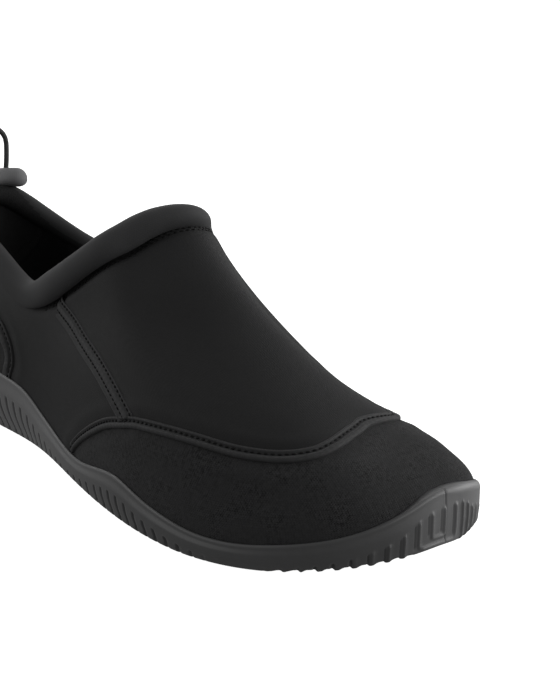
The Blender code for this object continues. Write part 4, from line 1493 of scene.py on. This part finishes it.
def stitch_tree():
    """Node tree that lays short rounded stitches along the lines of a mesh."""
    tree = bpy.data.node_groups.new("stitch_rows", "GeometryNodeTree")
    for name, way, kind in (
            ("Geometry", "INPUT", "Geometry"), ("Pitch", "INPUT", "Float"), ("Length", "INPUT", "Float"),
            ("Thickness", "INPUT", "Float"), ("Material", "INPUT", "Material"),
            ("Geometry", "OUTPUT", "Geometry")):
        tree.interface.new_socket(name, in_out=way, socket_type=f"NodeSocket{kind}")
    kinds = {
        "given": "NodeGroupInput", "result": "NodeGroupOutput", "curve": "GeometryNodeMeshToCurve",
        "even": "GeometryNodeResampleCurve", "tangent": "GeometryNodeInputTangent",
        "turn": "FunctionNodeAlignRotationToVector", "ball": "GeometryNodeMeshUVSphere",
        "size": "ShaderNodeCombineXYZ", "shape": "GeometryNodeTransform",
        "spread": "GeometryNodeInstanceOnPoints", "real": "GeometryNodeRealizeInstances",
        "smooth": "GeometryNodeSetShadeSmooth", "paint": "GeometryNodeSetMaterial"}
    made = {name: tree.nodes.new(kind) for name, kind in kinds.items()}
    made["even"].mode = "LENGTH"
    made["turn"].axis = "X"
    for socket, value in STITCH_BALL.items():
        made["ball"].inputs[socket].default_value = value
    for start, output, end, socket in (
            ("given", "Geometry", "curve", "Mesh"), ("curve", "Curve", "even", "Curve"),
            ("given", "Pitch", "even", "Length"), ("given", "Length", "size", 0),
            ("given", "Thickness", "size", 1), ("given", "Thickness", "size", 2),
            ("ball", "Mesh", "shape", "Geometry"), ("size", 0, "shape", "Scale"),
            ("tangent", "Tangent", "turn", "Vector"), ("even", "Curve", "spread", "Points"),
            ("shape", "Geometry", "spread", "Instance"), ("turn", "Rotation", "spread", "Rotation"),
            ("spread", "Instances", "real", "Geometry"), ("real", "Geometry", "smooth", "Geometry"),
            ("smooth", "Geometry", "paint", "Geometry"), ("given", "Material", "paint", "Material"),
            ("paint", "Geometry", "result", "Geometry")):
        tree.links.new(made[start].outputs[output], made[end].inputs[socket])
    return tree


def stitch_lines():
    """Lines that the stitches follow, in millimetres."""
    lines = []
    for path, _, side, shift, _, offsets, _ in SEAMS.values():
        middle, _, across, normal, _, _ = seam_frame(path)
        for offset in offsets:
            lines.append(middle + across * ((offset + shift) * side) + normal * STITCH_LIFT)
    u = np.linspace(*TUCK_STITCH_SPAN, TUCK_STITCH_STEPS)
    v_top, per_v = tuck_place(u)
    for below in TUCK_STITCH_BELOW:
        v = v_top - below / per_v
        lines.append(lifted(u, v, TUCK_STITCH_LIFT + face_offset(u, v)))
    return lines


def build_stitches(scene):
    sizes = scene.water_shoe_sizes
    lines = stitch_lines()
    points = np.concatenate(lines)
    edges = []
    start = 0
    for line in lines:
        edges += [(start + k, start + k + 1) for k in range(len(line) - 1)]
        start += len(line)
    mesh = bpy.data.meshes.new("stitch_lines")
    mesh.from_pydata(metres(points).tolist(), edges, [])
    guide = bpy.data.objects.new("stitch_lines", mesh)
    scene.collection.objects.link(guide)
    modifier = guide.modifiers.new("stitches", "NODES")
    modifier.node_group = stitch_tree()
    wanted = {
        "Pitch": sizes.stitch_pitch, "Length": sizes.stitch_length, "Thickness": sizes.stitch_thickness,
        "Material": thread_finish(scene.water_shoe_colours)}
    for item in modifier.node_group.interface.items_tree:
        if item.in_out == "INPUT" and item.name in wanted:
            modifier[item.identifier] = wanted[item.name]
    depsgraph = bpy.context.evaluated_depsgraph_get()
    made = bpy.data.meshes.new_from_object(guide.evaluated_get(depsgraph))
    guide.modifiers.remove(modifier)
    bpy.data.objects.remove(guide)
    made.name = "seam_stitches"
    piece = bpy.data.objects.new("seam_stitches", made)
    scene.collection.objects.link(piece)
    return settle(piece, "seam_fabric")


def loop_route():
    """Points of the pull loop's middle line, in millimetres."""
    heel = STATION_VALUES[list(STATIONS).index("heel_back")]
    foot_z = HEEL_TAB_TOP - LOOP_FOOT
    straight = LOOP_HEIGHT - LOOP_HALF_WIDTH
    legs = [
        (LOOP_HALF_WIDTH - LOOP_PINCH * (1.0 - k) ** 2, straight * k)
        for k in np.linspace(0.0, 1.0, LOOP_LEG_STEPS)]
    points = list(legs)
    for angle in np.radians(np.arange(LOOP_BEND_STEP, 180.0, LOOP_BEND_STEP)):
        points.append((LOOP_HALF_WIDTH * np.cos(angle), straight + LOOP_HALF_WIDTH * np.sin(angle)))
    points += [(-y, z) for y, z in legs[::-1]]
    return np.array([(heel[2], y, foot_z + z) for y, z in points])


def build_loop(scene):
    cord = scene.water_shoe_sizes.cord
    knots = loop_route()
    reach = run_length(knots, 0)
    wanted = np.linspace(0.0, reach[-1], LOOP_STEPS)
    route = np.column_stack([np.interp(wanted, reach, knots[:, k]) for k in range(3)])
    for _ in range(LOOP_SMOOTHING):
        route[1:-1] = 0.25 * route[:-2] + 0.5 * route[1:-1] + 0.25 * route[2:]
    along = unit(np.gradient(route, axis=0))
    side = np.broadcast_to(np.array([1.0, 0.0, 0.0]), along.shape)
    across = unit(np.cross(along, side))
    radius = cord / MILLIMETRE / 2.0
    turns = np.arange(LOOP_SIDES + 1) * FULL_TURN / LOOP_SIDES
    grid = np.array([route + radius * (np.cos(turn) * side + np.sin(turn) * across) for turn in turns[:-1]])
    length = run_length(route, 0)
    piece = tube_piece("pull_loop", grid, turns * radius, length, cord_finish(scene.water_shoe_colours))
    settle(piece, "loop_cord", "heel_pull_loop")
    return piece


# Stage

def placed(name, data, axes, place):
    """Links an object at a place, with its axes as columns; metres."""
    thing = bpy.data.objects.new(name, data)
    thing.matrix_world = Matrix([[*axes[k], place[k]] for k in range(3)] + [[0.0, 0.0, 0.0, 1.0]])
    bpy.context.scene.collection.objects.link(thing)
    return thing


def add_softbox(name, place, watts):
    """Soft rectangular light that looks at the shoe."""
    data = bpy.data.lights.new(name, "AREA")
    data.energy = watts
    data.shape = "RECTANGLE"
    data.size, data.size_y = SOFTBOX_SIZE
    back = unit(np.array(place) - np.array(SOFTBOX_AIM))
    right = unit(np.cross(UPWARD, back))
    placed(name, data, np.column_stack([right, np.cross(back, right), back]), place)


def build_stage(scene):
    stage = scene.water_shoe_stage
    scene.view_settings.view_transform = "Standard"
    half = stage.floor_size / 2.0
    corners = [(-half, -half, 0.0), (half, -half, 0.0), (half, half, 0.0), (-half, half, 0.0)]
    mesh = bpy.data.meshes.new("studio_floor")
    mesh.from_pydata(corners, [], [(0, 1, 2, 3)])
    mesh.materials.append(floor_finish(stage))
    floor = placed("studio_floor", mesh, np.eye(3), np.zeros(3))
    # The floor only backs the picture: it sends no light up onto the shoe.
    floor.visible_diffuse = False
    floor.visible_glossy = False

    world = bpy.data.worlds.new("studio")
    world.use_nodes = True
    background = world.node_tree.nodes["Background"]
    background.inputs["Color"].default_value = WHITE
    background.inputs["Strength"].default_value = stage.dome
    scene.world = world
    for name, place in SOFTBOXES.items():
        add_softbox(f"{name}_softbox", place, getattr(stage, f"{name}_watts"))

    ahead = math.cos(stage.elevation)
    back = np.array([
        math.cos(stage.azimuth) * ahead, -math.sin(stage.azimuth) * ahead, math.sin(stage.elevation)])
    right = unit(np.cross(UPWARD, back))
    up = np.cross(back, right)
    right_rolled = right * math.cos(stage.roll) + up * math.sin(stage.roll)
    up_rolled = up * math.cos(stage.roll) - right * math.sin(stage.roll)
    data = bpy.data.cameras.new("photo_camera")
    data.sensor_fit = "HORIZONTAL"
    data.sensor_width = SENSOR_WIDTH
    data.lens = stage.lens
    data.clip_start = NEAREST_SEEN
    data.clip_end = FARTHEST_SEEN
    axes = np.column_stack([right_rolled, up_rolled, back])
    scene.camera = placed("photo_camera", data, axes, np.array(stage.target) + back * stage.distance)


# Settings, operators and panel

def number_setting(name, description, default, **more):
    return FloatProperty(name=name, description=description, default=default, **more)


def length_setting(name, description, default):
    return number_setting(name, description, default, min=0.0, unit="LENGTH", precision=5)


def power_setting(name, description, default):
    return number_setting(name, description, default, min=0.0, unit="POWER")


def angle_setting(name, description, degrees):
    return number_setting(name, description, math.radians(degrees), subtype="ANGLE")


def colour_setting(name, description, grey, tint=1.0):
    return FloatVectorProperty(
        name=name, description=description, default=(grey, grey, grey * tint, 1.0), size=4, subtype="COLOR",
        min=0.0, max=1.0)


class ShoeSizes(bpy.types.PropertyGroup):
    """Sizes that a user would change."""
    wall: length_setting("Upper wall", "Thickness of the neoprene", 0.0022)
    slot_width: length_setting("Slot width", "Width of the slots in the sole's side", 0.0017)
    slot_depth: length_setting("Slot depth", "Depth of the slots in the sole's side", 0.0009)
    stitch_pitch: length_setting("Stitch pitch", "Distance from stitch to stitch", 0.0024)
    stitch_length: length_setting("Stitch length", "Length of one stitch", 0.0018)
    stitch_thickness: length_setting("Stitch thickness", "Thickness of the sewing thread", 0.00075)
    cord: length_setting("Cord diameter", "Thickness of the heel loop's cord", 0.0023)


class ShoeColours(bpy.types.PropertyGroup):
    """Colours of the shoe's materials."""
    neoprene: colour_setting("Neoprene", "Outside of the upper", 0.0120, 1.02)
    lining: colour_setting("Lining", "Inside of the upper", 0.0120, 1.02)
    collar: colour_setting("Collar", "Padded roll", 0.0345, 1.02)
    tab: colour_setting("Heel tab", "Padded fold on the heel", 0.118, 1.02)
    tape: colour_setting("Seam tape", "Raised seams", 0.023, 1.02)
    thread: colour_setting("Thread", "Stitches", 0.005)
    rubber: colour_setting("Rubber", "Sole", 0.050, 1.01)
    insole: colour_setting("Insole", "Footbed fabric", 0.010)
    cord: colour_setting("Cord", "Heel loop", 0.030)


class StageSettings(bpy.types.PropertyGroup):
    """Floor, lights and camera."""
    floor: colour_setting("Floor", "Colour of the floor", 0.45)
    floor_glow: number_setting("Floor glow", "Light that the floor gives", 1.0, min=0.0)
    floor_size: length_setting("Floor size", "Side of the square floor", 40.0)
    dome: number_setting("Dome", "Strength of the light all round", 0.33, min=0.0)
    left_watts: power_setting("Left light", "Power of the softbox behind the heel's outer side", 11.5)
    right_watts: power_setting("Right light", "Power of the softbox on the inner side of the toe", 12.3)
    edge_watts: power_setting("Edge light", "Power of the low softbox along the inner side", 10.2)
    front_watts: power_setting("Front light", "Power of the softbox before the toe", 9.3)
    back_watts: power_setting("Back light", "Power of the softbox behind the heel", 10.0)
    azimuth: angle_setting("Azimuth", "Camera's turn from the toe to the outer side", 38.789)
    elevation: angle_setting("Elevation", "Camera's angle above the floor", 16.991)
    roll: angle_setting("Roll", "Camera's tilt to one side", 0.324)
    distance: length_setting("Distance", "From the target to the camera", 0.6261)
    lens: number_setting("Lens", "Focal length in millimetres", 100.02, min=1.0)
    target: FloatVectorProperty(
        name="Target", description="Point that the camera looks at", default=(0.01894, 0.04513, 0.04000),
        subtype="TRANSLATION", unit="LENGTH")


class BuildStep:
    """A button that runs some of the builders."""
    builders = ()

    def execute(self, context):
        for build in self.builders:
            build(context.scene)
        return {"FINISHED"}


class WATERSHOE_OT_stage(BuildStep, bpy.types.Operator):
    """Lay the floor and set the lights and the camera"""
    bl_idname = "water_shoe.stage"
    bl_label = "Stage"
    builders = (build_stage,)


class WATERSHOE_OT_loop(BuildStep, bpy.types.Operator):
    """Build the cord loop at the heel"""
    bl_idname = "water_shoe.loop"
    bl_label = "Pull loop"
    builders = (build_loop,)


class WATERSHOE_OT_sole(BuildStep, bpy.types.Operator):
    """Build the ribbed rubber sole"""
    bl_idname = "water_shoe.sole"
    bl_label = "Sole"
    builders = (build_sole,)


class WATERSHOE_OT_insole(BuildStep, bpy.types.Operator):
    """Build the insole pad"""
    bl_idname = "water_shoe.insole"
    bl_label = "Insole"
    builders = (build_insole,)


class WATERSHOE_OT_upper(BuildStep, bpy.types.Operator):
    """Build the neoprene upper with its lining"""
    bl_idname = "water_shoe.upper"
    bl_label = "Upper"
    builders = (build_upper, build_lining_tape)


class WATERSHOE_OT_collar(BuildStep, bpy.types.Operator):
    """Build the padded collar roll"""
    bl_idname = "water_shoe.collar"
    bl_label = "Collar roll"
    builders = (build_collar, build_heel_tab)


class WATERSHOE_OT_tapes(BuildStep, bpy.types.Operator):
    """Build the raised seam tapes"""
    bl_idname = "water_shoe.tapes"
    bl_label = "Seam tapes"
    builders = (build_tapes,)


class WATERSHOE_OT_stitches(BuildStep, bpy.types.Operator):
    """Sew the stitches along the seams"""
    bl_idname = "water_shoe.stitches"
    bl_label = "Stitches"
    builders = (build_stitches,)


OPERATORS = (
    WATERSHOE_OT_stage, WATERSHOE_OT_loop, WATERSHOE_OT_sole, WATERSHOE_OT_insole, WATERSHOE_OT_upper,
    WATERSHOE_OT_collar, WATERSHOE_OT_tapes, WATERSHOE_OT_stitches)
SETTINGS = {
    "water_shoe_sizes": ShoeSizes, "water_shoe_colours": ShoeColours, "water_shoe_stage": StageSettings}


class WATERSHOE_PT_panel(bpy.types.Panel):
    """Settings and builders of the water shoe"""
    bl_label = "Water Shoe"
    bl_idname = "WATERSHOE_PT_panel"
    bl_space_type = "VIEW_3D"
    bl_region_type = "UI"
    bl_category = "Water Shoe"

    def draw(self, context):
        for operator in OPERATORS:
            self.layout.operator(operator.bl_idname)
        for name, group in SETTINGS.items():
            box = self.layout.box()
            for key in group.__annotations__:
                box.prop(getattr(context.scene, name), key)


CLASSES = (*SETTINGS.values(), *OPERATORS, WATERSHOE_PT_panel)


def register():
    for kind in CLASSES:
        bpy.utils.register_class(kind)
    for name, group in SETTINGS.items():
        setattr(bpy.types.Scene, name, PointerProperty(type=group))


def unregister():
    for name in SETTINGS:
        delattr(bpy.types.Scene, name)
    for kind in reversed(CLASSES):
        bpy.utils.unregister_class(kind)


def main():
    register()
    bpy.ops.water_shoe.stage()
    bpy.ops.water_shoe.loop()
    bpy.ops.water_shoe.sole()
    bpy.ops.water_shoe.insole()
    bpy.ops.water_shoe.upper()
    bpy.ops.water_shoe.collar()
    bpy.ops.water_shoe.tapes()
    bpy.ops.water_shoe.stitches()


if __name__ == "__main__":
    main()
